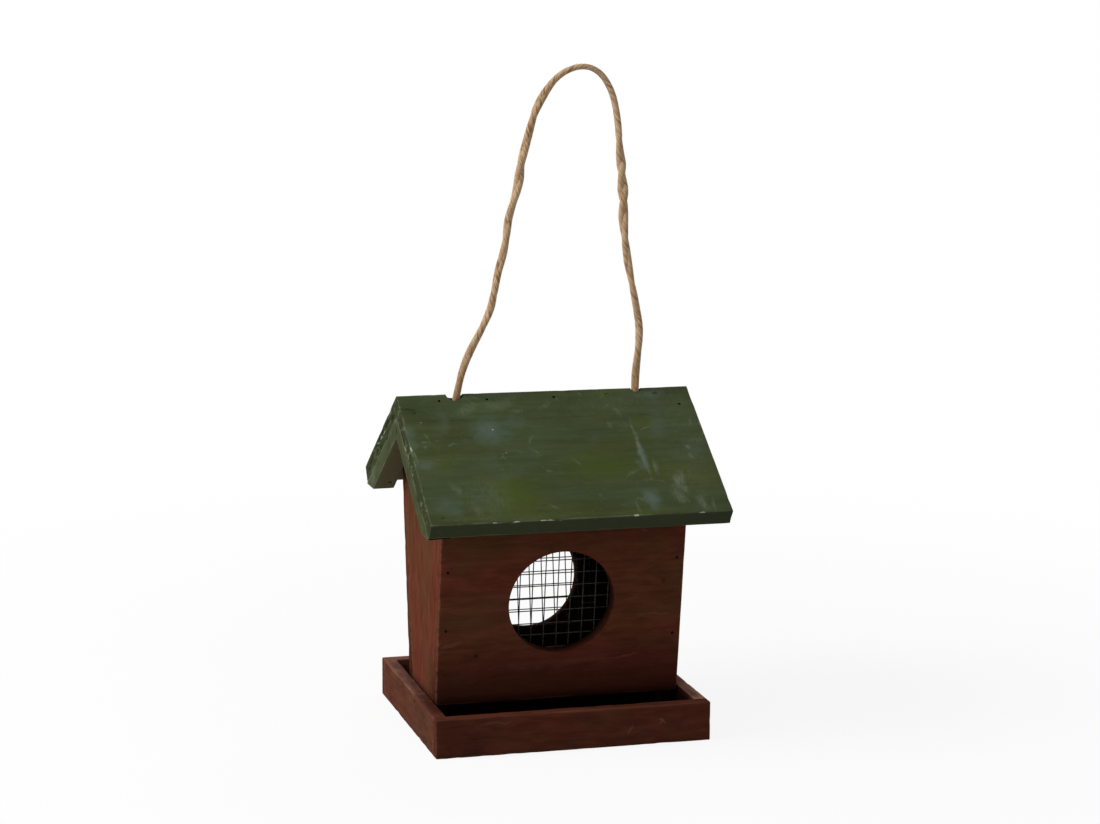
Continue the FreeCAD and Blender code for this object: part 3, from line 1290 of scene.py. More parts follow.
@dataclass
class Hopper(Joinery):
    """Two leaning walls with round windows, and two gabled end walls with a tie hole."""

    wall_thickness: float = 8.0 * MM
    window_radius: float = 26.5 * MM
    front_window_height: float = 67.3 * MM
    rear_window_height: float = 65.6 * MM
    tie_height: float = 129.8 * MM
    tie_radius: float = 2.65 * MM
    window_rim: float = 0.3 * MM
    tie_rim: float = 0.5 * MM
    window_steps: int = 96
    tie_steps: int = 32

    def wall_height(self, node: str) -> float:
        """Height of a leaning wall's outer face, along its slope."""
        low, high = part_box(node)
        return (high.z - low.z - self.wall_thickness * math.sin(WALL_LEAN)) / math.cos(WALL_LEAN)

    def leaning_frame(self, facing: int) -> tuple[Vector, Vector, Vector]:
        """Foot, upward direction and inward direction of a leaning wall's outer face.

        Args:
            facing: -1 for the front wall, 1 for the rear wall.

        Returns:
            The middle of the outer face's lower edge, and the two directions.
        """
        low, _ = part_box("front_wall")
        foot_y = -low.y - self.wall_height("front_wall") * math.sin(WALL_LEAN)
        foot = Vector((0.0, facing * foot_y, low.z))
        up = Vector((0.0, facing * math.sin(WALL_LEAN), math.cos(WALL_LEAN)))
        inward = Vector((0.0, -facing * math.cos(WALL_LEAN), math.sin(WALL_LEAN)))
        return foot, up, inward

    def window_centre(self, facing: int) -> Vector:
        """Where a window is.

        Args:
            facing: -1 for the front wall, 1 for the rear wall.

        Returns:
            Its middle, on the outer face.
        """
        foot, up, _ = self.leaning_frame(facing)
        height = self.front_window_height if facing < 0 else self.rear_window_height
        return foot + up * ((height - foot.z) / math.cos(WALL_LEAN))

    def leaning_wall(self, side: str, facing: int) -> Board:
        """The front or rear wall.

        Args:
            side: front or rear.
            facing: -1 for the front, 1 for the rear.

        Returns:
            The wall.
        """
        node = side + "_wall"
        foot, up, inward = self.leaning_frame(facing)
        rise = up * self.wall_height(node)
        across = inward * self.wall_thickness
        spots = (foot, foot + across, foot + across + rise, foot + rise)
        window = Bore(self.window_centre(facing), inward, self.window_radius, self.wall_thickness, True,
                      self.window_rim, self.window_steps)
        return long_board(node, [(spot.y, spot.z) for spot in spots], (X_AXIS, up, inward), bores=[window])

    def end_wall(self, side: str, facing: int) -> Board:
        """The left or right end wall.

        Args:
            side: left or right.
            facing: -1 for the left, 1 for the right.

        Returns:
            The wall.
        """
        node = side + "_end_wall"
        low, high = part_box(node)
        shoulder_z = high.z - high.y * math.tan(ROOF_SLOPE)
        foot_y = high.y - (shoulder_z - low.z) * math.tan(WALL_LEAN)
        corners = ((-foot_y, low.z), (foot_y, low.z), (high.y, shoulder_z), (0.0, high.z),
                   (low.y, shoulder_z))
        outer = high.x if facing > 0 else low.x
        tie = Bore(Vector((outer, 0.0, self.tie_height)), Vector((-facing, 0, 0)), self.tie_radius,
                   high.x - low.x, True, self.tie_rim, self.tie_steps)
        return long_board(node, corners, AXES, bores=[tie])

    def build(self) -> None:
        """Makes the four walls."""
        _, _, inward = self.leaning_frame(-1)
        front = Face(ORIGIN, X_AXIS, Z_AXIS, -inward, WALL_MARKS)
        # Painted shade darkens the leaning walls towards their feet.
        shaded_foot = replace(self.finish, foot=0.8)
        self.fit(self.leaning_wall("front", -1), Grain.ALONG_X, 6, replace(shaded_foot, faces=(front,)))
        self.fit(self.leaning_wall("rear", 1), Grain.ALONG_X, 7, shaded_foot)
        left = Face(ORIGIN, Y_AXIS, Z_AXIS, -X_AXIS, END_MARKS)
        self.fit(self.end_wall("left", -1), Grain.ALONG_Z, 8, replace(self.finish, faces=(left,)))
        self.fit(self.end_wall("right", 1), Grain.ALONG_Z, 9)


@dataclass
class Roof(Joinery):
    """Two boards lapped at the ridge, with cord holes, and four battens under the gables."""

    board_thickness: float = 8.5 * MM
    batten_thickness: float = 9.0 * MM
    hole_rim: float = 0.3 * MM
    board_cell: float = 1.7 * MM
    cord_holes: tuple[tuple[float, float], ...] = ((-45.4 * MM, 4.2 * MM), (47.5 * MM, 2.6 * MM))
    eave_chips: tuple[tuple[float, float], ...] = ()
    ridge_rise: float = 0.75 * MM
    front_overhang: float = 0.6 * MM
    half_length: float = 74.5 * MM
    half_depth: float = 75.0 * MM

    batten_lip = 1.1 * MM
    batten_arris = 0.2 * MM
    chip_depth = 0.45 * MM
    chip_width = 0.5
    chip_strength = 0.7
    hole_steps = 40
    arris = 0.4 * MM
    bite = 0.4 * MM

    def settle(self, place: Vector) -> Vector:
        """How the nailed-up roof stands out of true: its ridge rises to the left.

        Args:
            place: a place on the roof.

        Returns:
            How far it has moved.
        """
        left = max(0.0, 0.5 - 0.5 * place.x / self.half_length)
        high = max(0.0, 1 - abs(place.y) / self.half_depth)
        return Vector((0.0, 0.0, self.ridge_rise * left * high))

    @staticmethod
    def slope_axes(facing: int) -> tuple[Vector, Vector, Vector]:
        """Directions of the front (-1) or rear (1) slope: along the ridge, down, and square to both."""
        down = Vector((0, facing * math.cos(ROOF_SLOPE), -math.sin(ROOF_SLOPE)))
        return X_AXIS, down, down.cross(X_AXIS)

    def cord_bores(self) -> list[Bore]:
        """The two plumb holes through the ridge.

        Returns:
            Their bores.
        """
        top = cad_roof_top()
        depth = 2 * self.board_thickness
        return [Bore(Vector((x, 0.0, top)), -Z_AXIS, radius, depth, True, self.hole_rim, self.hole_steps)
                for x, radius in self.cord_holes]

    def roof_board(self, side: str, facing: int) -> Board:
        """The front or rear board: the front one covers the rear one's upper edge.

        Args:
            side: front or rear.
            facing: -1 for the front, 1 for the rear.

        Returns:
            The board.
        """
        node = "roof_board_" + side
        low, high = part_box(node)
        top = cad_roof_top()
        lap_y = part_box("roof_board_front")[1].y
        lap = (lap_y, top - lap_y * math.tan(ROOF_SLOPE))
        reach = max(-low.y, high.y) + (self.front_overhang if facing < 0 else 0.0)
        eave = (facing * reach, top - reach * math.tan(ROOF_SLOPE))
        inset = self.board_thickness * math.sin(ROOF_SLOPE)
        foot = (eave[0] - facing * inset, eave[1] - self.board_thickness * math.cos(ROOF_SLOPE))
        under = (0.0, top - self.board_thickness / math.cos(ROOF_SLOPE))
        corners = ((0.0, top), eave, foot, lap) if facing < 0 else (lap, under, foot, eave)
        chips = [Chip(Vector((x * MM, *eave)), X_AXIS, length * MM, self.chip_depth)
                 for x, length in self.eave_chips if facing < 0]
        return long_board(node, corners, self.slope_axes(facing), bores=self.cord_bores(), chips=chips,
                          arris=self.arris, cell=self.board_cell, bite=self.bite, settle=self.settle)

    def batten(self, side: str, facing: int, end: str) -> Board:
        """One batten, cut level and blunt at its foot and plumb at the ridge.

        Args:
            side: front or rear.
            facing: -1 for the front, 1 for the rear.
            end: left or right.

        Returns:
            The batten.
        """
        node = f"roof_batten_{side}_{end}"
        low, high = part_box(node)
        plumb = min(abs(low.y), abs(high.y))
        foot = max(abs(low.y), abs(high.y))
        under = high.z - self.batten_thickness / math.cos(ROOF_SLOPE)
        level = low.z - (self.batten_lip if end == "left" else 0.0)
        inner = plumb + (under - level) / math.tan(ROOF_SLOPE)
        corners = [(foot, level), (inner, level), (plumb, under), (plumb, high.z)]
        if level < low.z:
            corners.append((foot, low.z))
        section = [(facing * y, z) for y, z in corners]
        return long_board(node, section, self.slope_axes(facing), arris=self.batten_arris, settle=self.settle)

    def build(self) -> None:
        """Makes the two boards and the four battens."""
        chips = tuple(Mark(Hue.CHIP, x, EAVE_DOWN, length, self.chip_width, 0.0, self.chip_strength)
                      for x, length in self.eave_chips)
        front = Face(Vector((0, 0, cad_roof_top())), *self.slope_axes(-1), ROOF_MARKS + chips)
        gable = Face(ORIGIN, Y_AXIS, Z_AXIS, -X_AXIS, GABLE_MARKS)
        self.fit(self.roof_board("front", -1), Grain.ALONG_X, 10, replace(self.finish, faces=(front, gable)))
        darker = replace(self.finish, saw_dark=tint(50, 55, 34), saw_pale=tint(104, 107, 82), faces=(gable,))
        self.fit(self.roof_board("rear", 1), Grain.ALONG_X, 11, darker)
        # On the battens the faces that look along Y are near black, a painted shadow: the lip at the foot of
        # the left battens and the plumb cut at the ridge.
        greyer = replace(self.finish, green=tint(71, 77, 52), olive=tint(76, 80, 49), bloom=tint(98, 102, 84),
                         eave=tint(12, 11, 8), faces=(gable,))
        seed = 12
        for side, facing, grain in (("front", -1, Grain.DOWN_FRONT), ("rear", 1, Grain.DOWN_REAR)):
            for end in ("left", "right"):
                self.fit(self.batten(side, facing, end), grain, seed, greyer)
                seed += 1


# Window wires

@dataclass(frozen=True)
class WirePanel:
    """One welded panel; sizes in metres.

    Attributes:
        side: front or rear.
        facing: -1 for the front, 1 for the rear.
        seed: for the small strays of its wires.
        shift: how far its middle column lies to the right of the window's middle.
        lift: how far its middle row lies above the window's middle.
        row_pitch: from one row to the next.
        column_pitch: from one column to the next.
        bent: rows that lie out of line, as their number above the middle one and how far they lie too high.
    """

    side: str
    facing: int
    seed: int
    shift: float
    lift: float
    row_pitch: float
    column_pitch: float
    bent: tuple[tuple[int, float], ...] = ()


@dataclass
class WindowMesh:
    """Welded wire behind the windows."""

    hopper: Hopper
    material: bpy.types.Material
    cells: int = 10
    wire: float = 0.27 * MM
    rise: float = 0.46 * MM
    weld: float = 0.36 * MM
    stray: float = 0.1 * MM
    tilt: float = 0.004
    sides: int = 10

    side_corners = 4

    def lay_wire(self, bm: bmesh.types.BMesh, middle: Vector, along: Vector, length: float) -> None:
        """Adds one straight round wire.

        Args:
            bm: the panel's mesh.
            middle: its middle.
            along: its direction.
            length: its length.
        """
        turn = along.to_track_quat("Z", "Y").to_matrix().to_4x4()
        bmesh.ops.create_cone(bm, cap_ends=True, segments=self.sides, radius1=self.wire, radius2=self.wire,
                              depth=length, matrix=Matrix.Translation(middle) @ turn)

    def build(self, panel: WirePanel) -> None:
        """Makes one panel.

        Args:
            panel: its place and its cells.
        """
        draw = random.Random(panel.seed)
        bm = bmesh.new()
        _, up, inward = self.hopper.leaning_frame(panel.facing)
        across = X_AXIS
        centre = self.hopper.window_centre(panel.facing) + inward * (self.hopper.wall_thickness + self.wire)
        half = self.cells * panel.column_pitch / 2
        length = 2 * half + 2 * self.wire
        columns = [number * panel.column_pitch - half + panel.shift for number in range(self.cells + 1)]
        count = self.cells // 2 - 1
        bent = dict(panel.bent)
        rows = [number * panel.row_pitch + panel.lift + bent.get(number, 0.0)
                for number in range(-count, count + 1)]
        columns = [place + draw.uniform(-self.stray, self.stray) for place in columns]
        rows = [place + draw.uniform(-self.stray, self.stray) for place in rows]
        for x in columns:
            tilt = (up + across * draw.uniform(-self.tilt, self.tilt)).normalized()
            self.lay_wire(bm, centre + across * x, tilt, length)
        for z in rows:
            tilt = (across + up * draw.uniform(-self.tilt, self.tilt)).normalized()
            self.lay_wire(bm, centre + up * z + inward * self.rise, tilt, length)
        for x in columns:
            for z in rows:
                spot = centre + across * x + up * z + inward * self.rise / 2
                bmesh.ops.create_icosphere(bm, subdivisions=1, radius=self.weld,
                                           matrix=Matrix.Translation(spot))
        for face in bm.faces:
            face.smooth = len(face.verts) <= self.side_corners
        mesh = new_mesh(panel.side + "_window_wires", bm)
        piece = new_piece(mesh.name, mesh, self.material)
        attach(piece, "house")
        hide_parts(panel.side + "_mesh")


# Hanging cord

@dataclass(frozen=True)
class Twist:
    """How the two strands of the cord lie at one place.

    Attributes:
        along: place along the cord, in millimetres.
        turn: angle of the strands in half turns; a whole number lays them side by side for the front.
        spread: how far each strand lies from the middle, in millimetres.
        girth: radius of a strand, in millimetres.
    """

    along: float
    turn: float
    spread: float
    girth: float

    def toward(self, other: "Twist", along: float) -> "Twist":
        """The lie on the way to another one.

        Args:
            other: the next lie along the cord.
            along: a place between the two, in millimetres.

        Returns:
            The lie at that place.
        """
        share = min(1.0, max(0.0, (along - self.along) / (other.along - self.along)))
        soft = share * share * (3 - 2 * share)
        return Twist(along, self.turn + (other.turn - self.turn) * share,
                     self.spread + (other.spread - self.spread) * soft,
                     self.girth + (other.girth - self.girth) * soft)


def curve_mesh(kind: str, rows: Sequence[tuple[Vector, float]], of_curve: dict,
               of_spline: dict) -> bpy.types.Mesh:
    """The mesh that a curve through points gives.

    Args:
        kind: the spline's type.
        rows: points, with their share of the curve's thickness.
        of_curve, of_spline: settings of the curve and of its spline.

    Returns:
        A mesh that is in no piece.
    """
    curve = bpy.data.curves.new("route", "CURVE")
    curve.dimensions = "3D"
    spline = curve.splines.new(kind)
    spline.points.add(len(rows) - 1)
    for point, (place, share) in zip(spline.points, rows):
        point.co = (*place, 1.0)
        point.radius = share
    for owner, settings in ((curve, of_curve), (spline, of_spline)):
        for key, value in settings.items():
            setattr(owner, key, value)
    mesh = bpy.data.meshes.new_from_object(bpy.data.objects.new("route", curve))
    bpy.data.curves.remove(curve)
    return mesh


PlyPoint = tuple[Vector, float, float]


@dataclass
class JuteLine:
    """A stretch of two-strand cord along a route of points in millimetres.

    Attributes:
        name: the piece's name.
        route: control points of its line.
        twists: how its strands lie, in order along it.
        fuzz: stray fibres to a millimetre of cord.
    """

    name: str
    route: tuple[Point, ...]
    twists: tuple[Twist, ...]
    fuzz: float = 0.45
    diameter: float = 3.8 * MM
    hair_radius: float = 0.035 * MM
    resolution: int = 12
    seed: int = 1

    plies = 2
    fibre_lay = 12.0
    ply_apart = 500.0
    keys = ("along", "lay_x", "lay_y")
    spline_order = 3
    ply_roundness = 3
    swell_length = 11
    swell_apart = 11.0
    swell_turn = 0.2
    swell_girth = 0.06
    hair_ahead = 5
    hair_length = (1.0, 2.6)
    hair_lift = (0.15, 0.4)
    hair_droop = 0.12
    hair_places = (0.0, 0.33, 0.66, 1.0)
    hair_root = 0.9
    hair_curl = 1.6
    hair_taper = 0.8
    hairs_apart = 7.0

    def line(self) -> list[Vector]:
        """Reads the route's smooth spline.

        Returns:
            Its points, in metres.
        """
        rows = [(Vector(place) * MM, 1.0) for place in self.route]
        smooth = {"order_u": self.spline_order, "use_endpoint_u": True}
        mesh = curve_mesh("NURBS", rows, {"resolution_u": self.resolution}, smooth)
        points = [v.co.copy() for v in mesh.vertices]
        bpy.data.meshes.remove(mesh)
        return points

    def lie(self, along: float) -> Twist:
        """How the strands lie at a place along the cord."""
        number = sum(1 for twist in self.twists[1:-1] if twist.along < along)
        return self.twists[number].toward(self.twists[number + 1], along)

    def ply_lines(self, line: Sequence[Vector]) -> list[list[PlyPoint]]:
        """Lines of the strands, wound about the cord's line.

        Args:
            line: the cord's line.

        Returns:
            For each strand its points, with their radius and their place along the cord in millimetres.
        """
        plies: list[list[PlyPoint]] = [[] for _ in range(self.plies)]
        side = (line[1] - line[0]).cross(Y_AXIS).normalized()
        along = 0.0
        for number, place in enumerate(line):
            before = line[max(0, number - 1)]
            after = line[min(len(line) - 1, number + 1)]
            ahead = (after - before).normalized()
            side = (side - ahead * side.dot(ahead)).normalized()
            along += (place - before).length / MM
            lie = self.lie(along)
            for ply, points in enumerate(plies):
                swell = noise.noise(Vector((along / self.swell_length, self.swell_apart * ply, self.seed)))
                angle = math.pi * (lie.turn + ply) + self.swell_turn * swell
                away = side * math.cos(angle) + ahead.cross(side) * math.sin(angle)
                radius = lie.girth * MM * (1 + self.swell_girth * swell)
                points.append((place + away * lie.spread * MM, radius, along))
        return plies

    def hair_lines(self, plies: Sequence[Sequence[PlyPoint]]) -> list[list[Vector]]:
        """Short stray fibres that stand off the plies.

        Args:
            plies: the plies' points.

        Returns:
            Points of each fibre.
        """
        draw = random.Random(self.seed)
        hairs = []
        for _ in range(int(self.fuzz * plies[0][-1][2])):
            ply = draw.choice(plies)
            start = draw.randrange(len(ply) - self.hair_ahead - 1)
            root, radius, _ = ply[start]
            ahead = (ply[start + self.hair_ahead][0] - root).normalized()
            side = ahead.orthogonal().normalized()
            side.rotate(Matrix.Rotation(draw.uniform(0, 2 * math.pi), 3, ahead))
            long = draw.uniform(*self.hair_length) * MM
            lift = draw.uniform(*self.hair_lift)
            droop = Vector([draw.uniform(-1, 1) for _ in AXES]) * self.hair_droop
            points = []
            for share in self.hair_places:
                out = radius * self.hair_root + long * lift * share ** self.hair_curl
                points.append(root + (side * out + (ahead + droop * share) * long * share))
            hairs.append(points)
        return hairs

    def build(self) -> tuple[bpy.types.Mesh, list[Vector]]:
        """Winds the strands and their stray fibres.

        Returns:
            The cord's mesh and the points that it follows.
        """
        line = self.line()
        plies = self.ply_lines(line)
        hairs = self.hair_lines(plies)
        bm = bmesh.new()
        layers = [bm.verts.layers.float.new(key) for key in self.keys]
        for number, points in enumerate(plies):
            rows = [(place, radius / MM) for place, radius, _ in points]
            ring = self.sweep(bm, rows, MM, self.ply_roundness)
            fresh = bm.verts[-len(points) * ring:]
            for index, vert in enumerate(fresh):
                along = points[index // ring][2]
                angle = 2 * math.pi * ((index % ring) / ring + along / self.fibre_lay)
                values = (along + number * self.ply_apart, math.cos(angle), math.sin(angle))
                for layer, value in zip(layers, values):
                    vert[layer] = value
        for number, points in enumerate(hairs):
            rows = [(place, 1.0 - self.hair_taper * index / len(points))
                    for index, place in enumerate(points)]
            ring = self.sweep(bm, rows, self.hair_radius, 0)
            for vert in bm.verts[-len(points) * ring:]:
                vert[layers[0]] = self.hairs_apart * number
        for face in bm.faces:
            face.smooth = True
        return new_mesh(self.name, bm), line

    @staticmethod
    def sweep(bm: bmesh.types.BMesh, rows: Sequence[tuple[Vector, float]], radius: float,
              resolution: int) -> int:
        """Adds a round tube through points to a mesh.

        Args:
            bm: the mesh.
            rows: points, with their share of the radius.
            radius: the tube's radius.
            resolution: how round it is.

        Returns:
            The number of vertices in each ring.
        """
        thick = {"bevel_depth": radius, "bevel_resolution": resolution, "use_fill_caps": True}
        tube = curve_mesh("POLY", rows, thick, {})
        ring = len(tube.vertices) // len(rows)
        bm.from_mesh(tube)
        bm.verts.ensure_lookup_table()
        bpy.data.meshes.remove(tube)
        return ring


@dataclass
class HangingCord:
    """The jute cord: a loop over the ridge, a leg inside each end of the house, and two stop knots.

    Attributes:
        material: its finish.
        lift: how far the roof can slide up the cord; not used.
        lean: how far the loop gives way sideways in its holes, as a share of the lift; not used.
        bend_low: height above which a leg gives way to the roof; not used.
    """

    material: bpy.types.Material
    lift: float = 80.0 * MM
    lean: float = -0.007
    bend_low: float = 135.0 * MM

    leg_seed = 3
    knot_seed = 6
    knot_fuzz = 1.5
    loop_route = (
        (-45.2, 0.0, 160.0), (-42.5, 0.3, 173.1), (-39.7, 0.6, 181.9), (-35.5, 0.6, 190.6),
        (-30.7, 0.2, 199.4), (-26.7, 0.2, 208.2), (-25.1, -0.6, 217.2), (-23.5, -0.6, 226.0),
        (-20.9, -0.9, 234.8), (-19.2, -0.9, 243.6), (-18.3, -0.4, 252.3), (-15.1, 0.5, 261.0),
        (-12.8, 0.5, 269.7), (-11.8, 1.0, 278.4), (-9.4, 1.0, 287.2), (-7.1, 0.8, 295.9),
        (-4.7, 0.2, 304.6), (-1.1, 0.2, 311.4), (3.8, -0.3, 318.6), (8.8, -0.3, 322.8),
        (13.8, -0.4, 325.0), (18.9, -0.4, 326.0), (24.1, -0.4, 325.0), (29.6, 0.0, 321.2),
        (34.4, 0.4, 313.1), (36.6, 0.4, 304.1), (37.9, 0.9, 295.2), (38.4, 0.9, 286.4),
        (39.5, 1.1, 277.5), (40.2, 1.1, 268.6), (40.9, 1.1, 259.7), (40.6, 0.6, 250.9),
        (41.5, 0.6, 241.9), (42.4, -0.2, 233.0), (44.0, -0.2, 224.0), (45.8, -0.8, 215.1),
        (47.6, -0.8, 206.0), (49.2, -0.6, 196.9), (49.0, -0.6, 187.9), (48.1, 0.0, 178.8),
        (47.4, 0.2, 169.7), (47.4, 0.0, 160.0),
    )
    loop_twists = tuple(Twist(*row) for row in (
        (0.0, 0.0, 0.3, 1.65), (45.0, 1.5, 0.3, 1.65), (61.0, 2.5, 0.35, 1.6), (79.0, 3.0, 0.4, 1.55),
        (88.0, 3.5, 0.4, 1.65), (97.0, 4.0, 0.4, 1.55), (106.0, 4.5, 0.45, 1.7), (118.0, 5.0, 0.85, 1.6),
        (126.0, 5.5, 0.5, 1.8), (138.0, 6.0, 0.45, 1.6), (152.0, 6.6, 0.5, 1.7), (168.0, 7.3, 0.4, 1.45),
        (186.0, 7.5, 0.5, 1.4), (206.0, 7.5, 0.7, 1.4), (227.0, 7.5, 0.8, 1.45), (239.0, 8.0, 0.85, 1.5),
        (244.0, 8.5, 0.9, 1.75), (252.0, 9.0, 1.05, 1.6), (258.0, 9.5, 1.0, 1.85), (265.0, 10.0, 0.95, 1.55),
        (276.0, 10.5, 0.7, 1.6), (286.0, 11.0, 0.55, 1.5), (298.0, 11.5, 0.6, 1.45), (314.0, 12.0, 0.35, 1.5),
        (330.0, 12.5, 0.3, 1.75), (345.0, 13.0, 0.35, 1.65), (364.0, 13.5, 0.3, 1.65),
    ))
    plain_twists = (Twist(0.0, 0.0, 0.5, 1.3), Twist(90.0, 7.0, 0.5, 1.3))
    knot_twists = (Twist(0.0, 0.0, 0.5, 1.1), Twist(90.0, 8.0, 0.5, 1.1))
    leg_routes = {
        "left": ((-45.2, 0.0, 160.0), (-46.14, -0.23, 151.54), (-47.4, -0.1, 142.4), (-48.8, 0.0, 134.2),
                 (-52.2, 0.0, 129.8), (-57.0, 0.1, 129.8), (-61.75, 0.0, 129.8)),
        "right": ((47.4, 0.0, 160.0), (47.1, -0.2, 151.41), (47.3, 0.0, 142.4), (48.8, 0.0, 134.2),
                  (52.2, 0.0, 129.8), (57.0, -0.1, 129.8), (61.75, 0.0, 129.8)),
    }
    knot_route = (
        (-1.0, 0.0, 0.0), (1.6, 0.2, 0.3), (4.8, -0.8, 2.6), (6.0, -2.9, 1.0), (4.6, -3.2, -2.0),
        (2.2, -1.6, -3.0), (1.7, 1.4, -2.6), (2.4, 3.1, 0.2), (3.8, 2.4, 2.9), (5.9, 0.4, 2.6),
        (6.9, -0.6, 0.0), (5.4, 0.4, -2.2), (4.2, 1.4, -4.6), (4.5, 1.0, -7.4),
    )

    def build(self) -> None:
        """Makes the loop, the legs and the knots."""
        loop = JuteLine("jute_loop", self.loop_route, self.loop_twists)
        mesh, line = loop.build()
        piece = new_piece("jute_loop", mesh, self.material)
        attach(piece, "house")
        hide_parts("cord_loop")
        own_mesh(piece)
        for side, facing in (("left", -1), ("right", 1)):
            self.build_leg(side, facing)

    def build_leg(self, side: str, facing: int) -> None:
        """Makes the leg and the knot of one end.

        Args:
            side: left or right.
            facing: -1 for the left, 1 for the right.
        """
        leg = JuteLine("jute_leg_" + side, self.leg_routes[side], self.plain_twists,
                       seed=self.leg_seed + facing)
        mesh, line = leg.build()
        end = Vector(self.leg_routes[side][-1])
        route = tuple((end.x + facing * x, facing * y, end.z + z) for x, y, z in self.knot_route)
        knot = JuteLine("jute_knot_" + side, route, self.knot_twists, fuzz=self.knot_fuzz,
                        seed=self.knot_seed + facing)
        knot_mesh, _ = knot.build()
        knot_piece = new_piece(knot.name, knot_mesh, self.material)
        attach(knot_piece, "house")
        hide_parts("cord_knot_" + side)
        piece = new_piece(leg.name, mesh, self.material)
        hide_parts("cord_leg_" + side)
        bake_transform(piece)

    @staticmethod
    def measure(line: Sequence[Vector]) -> float:
        """Length of a line of points, in metres."""
        return sum((b - a).length for a, b in zip(line, line[1:]))


# Camera, surround and lamps

@dataclass(frozen=True)
class PhotoCamera:
    """The camera as the photograph has it; sizes in millimetres, degrees and photograph pixels."""

    focal_pixels: float = 2923.44
    azimuth: float = -15.376
    elevation: float = 9.893
    roll: float = 0.313
    target: Point = (3.526, 0.0, 155.558)
    distance: float = 1448.61

    def place(self) -> None:
        """Adds the camera and makes it the scene's."""
        around, above, tilt = (math.radians(a) for a in (self.azimuth, self.elevation, self.roll))
        level = math.cos(above)
        back = Vector((math.sin(around) * level, -math.cos(around) * level, math.sin(above)))
        right = Vector((math.cos(around), math.sin(around), 0.0))
        up = back.cross(right)
        turned = right * math.cos(tilt) + up * math.sin(tilt)
        upright = up * math.cos(tilt) - right * math.sin(tilt)
        data = bpy.data.cameras.new("photo_camera")
        data.sensor_fit = "HORIZONTAL"
        data.sensor_width = SENSOR_WIDTH
        data.lens = SENSOR_WIDTH * self.focal_pixels / PHOTO_WIDTH
        camera = bpy.data.objects.new("photo_camera", data)
        axes = Matrix((turned, upright, back)).transposed().to_4x4()
        spot = (Vector(self.target) + back * self.distance) * MM
        camera.matrix_world = Matrix.Translation(spot) @ axes
        bpy.context.scene.collection.objects.link(camera)
        bpy.context.scene.camera = camera


@dataclass(frozen=True)
class Lamp:
    """A soft square studio lamp; place and size in metres."""

    name: str
    place: Point
    aim: Point
    size: float
    power: float

    def hang(self) -> None:
        """Adds the lamp to the scene."""
        data = bpy.data.lights.new(self.name, "AREA")
        data.size = self.size
        data.energy = self.power
        lamp = bpy.data.objects.new(self.name, data)
        away = Vector(self.place) - Vector(self.aim)
        turn = away.to_track_quat("Z", "Y").to_matrix().to_4x4()
        lamp.matrix_world = Matrix.Translation(self.place) @ turn
        bpy.context.scene.collection.objects.link(lamp)


@dataclass(frozen=True)
class Studio:
    """A white floor that fades into a white surround, and soft lamps."""

    lamps: tuple[Lamp, ...] = (
        Lamp("key", (-1.28, -0.05, 1.06), (0.0, 0.0, 0.1), 0.9, 21.5),
        Lamp("fill", (0.1, -1.6, 0.35), (0.0, 0.0, 0.1), 1.4, 3.9),
        Lamp("back", (0.8, 1.2, 0.9), (0.0, 0.0, 0.1), 1.0, 4.0),
    )
    ambient: float = 0.25
    floor_half: float = 3.0
    floor_cells: int = 8
    shadow_share: float = 0.12
    shadow_reach: tuple[float, float] = (0.7, 0.12)
    white: Colour = tint(255, 255, 255)
    matt: Colour = tint(250, 250, 250)
    grey: Colour = tint(160, 160, 160)

    @staticmethod
    def seen(shader: Shader) -> Field:
        """Tells the rays that show the surround as it looks: to the eye, in shine and through glass.

        Args:
            shader: the tree of the surround or the floor.

        Returns:
            1 for such rays, 0 for the others.
        """
        kinds = ("Is Camera Ray", "Is Glossy Ray", "Is Transmission Ray")
        rays = [shader.node("ShaderNodeLightPath", {}, {}, kind) for kind in kinds]
        return functools.reduce(Field.most, rays)

    def surround(self) -> None:
        """Makes the world: soft grey light, seen as white."""
        world = bpy.data.worlds.new("white_surround")
        world.use_nodes = True
        shader = Shader(world.node_tree)
        light, white = (shader.node("ShaderNodeBackground", {}, {"Color": self.white, "Strength": strength})
                        for strength in (self.ambient, 1.0))
        mixed = shader.node("ShaderNodeMixShader", {}, {0: self.seen(shader), 1: light, 2: white})
        shader.node("ShaderNodeOutputWorld", {}, {"Surface": mixed})
        bpy.context.scene.world = world

    def floor(self) -> None:
        """Makes the floor: grey to the light, white to the eye, with a faint shadow near the object."""
        bm = bmesh.new()
        bmesh.ops.create_grid(bm, x_segments=self.floor_cells, y_segments=self.floor_cells,
                              size=self.floor_half)
        mesh = new_mesh("floor", bm)
        material, shader = new_material("white_floor")
        place = shader.place()
        reach = shader.node("ShaderNodeVectorMath", {"operation": "LENGTH"}, {0: place}, "Value")
        shadow = reach.step(*self.shadow_reach) * self.shadow_share
        grey = shader.node("ShaderNodeBsdfDiffuse", {}, {"Color": self.grey})
        matt = shader.node("ShaderNodeBsdfDiffuse", {}, {"Color": self.matt})
        white = shader.node("ShaderNodeEmission", {}, {"Color": self.white, "Strength": 1.0})
        shown = shader.node("ShaderNodeMixShader", {}, {0: 1 - shadow, 1: matt, 2: white})
        mixed = shader.node("ShaderNodeMixShader", {}, {0: self.seen(shader), 1: grey, 2: shown})
        shader.node("ShaderNodeOutputMaterial", {}, {"Surface": mixed})
        mesh.materials.append(material)
        floor = bpy.data.objects.new("floor", mesh)
        bpy.context.scene.collection.objects.link(floor)

    def build(self) -> None:
        """Makes the surround, the floor and the lamps."""
        self.surround()
        self.floor()
        for lamp in self.lamps:
            lamp.hang()
        bpy.context.scene.view_settings.view_transform = "Standard"


# Nails, panels and marks of this feeder

HOUSE_NAILS = ("front_wall_nails", "rear_wall_nails", "rail_corner_nails", "floor_edge_nails",
               "rail_to_wall_nails", "floor_nails")
ROOF_NAILS = ("ridge_nails", "batten_nails")
STAPLES = ("front_mesh_staples", "rear_mesh_staples")

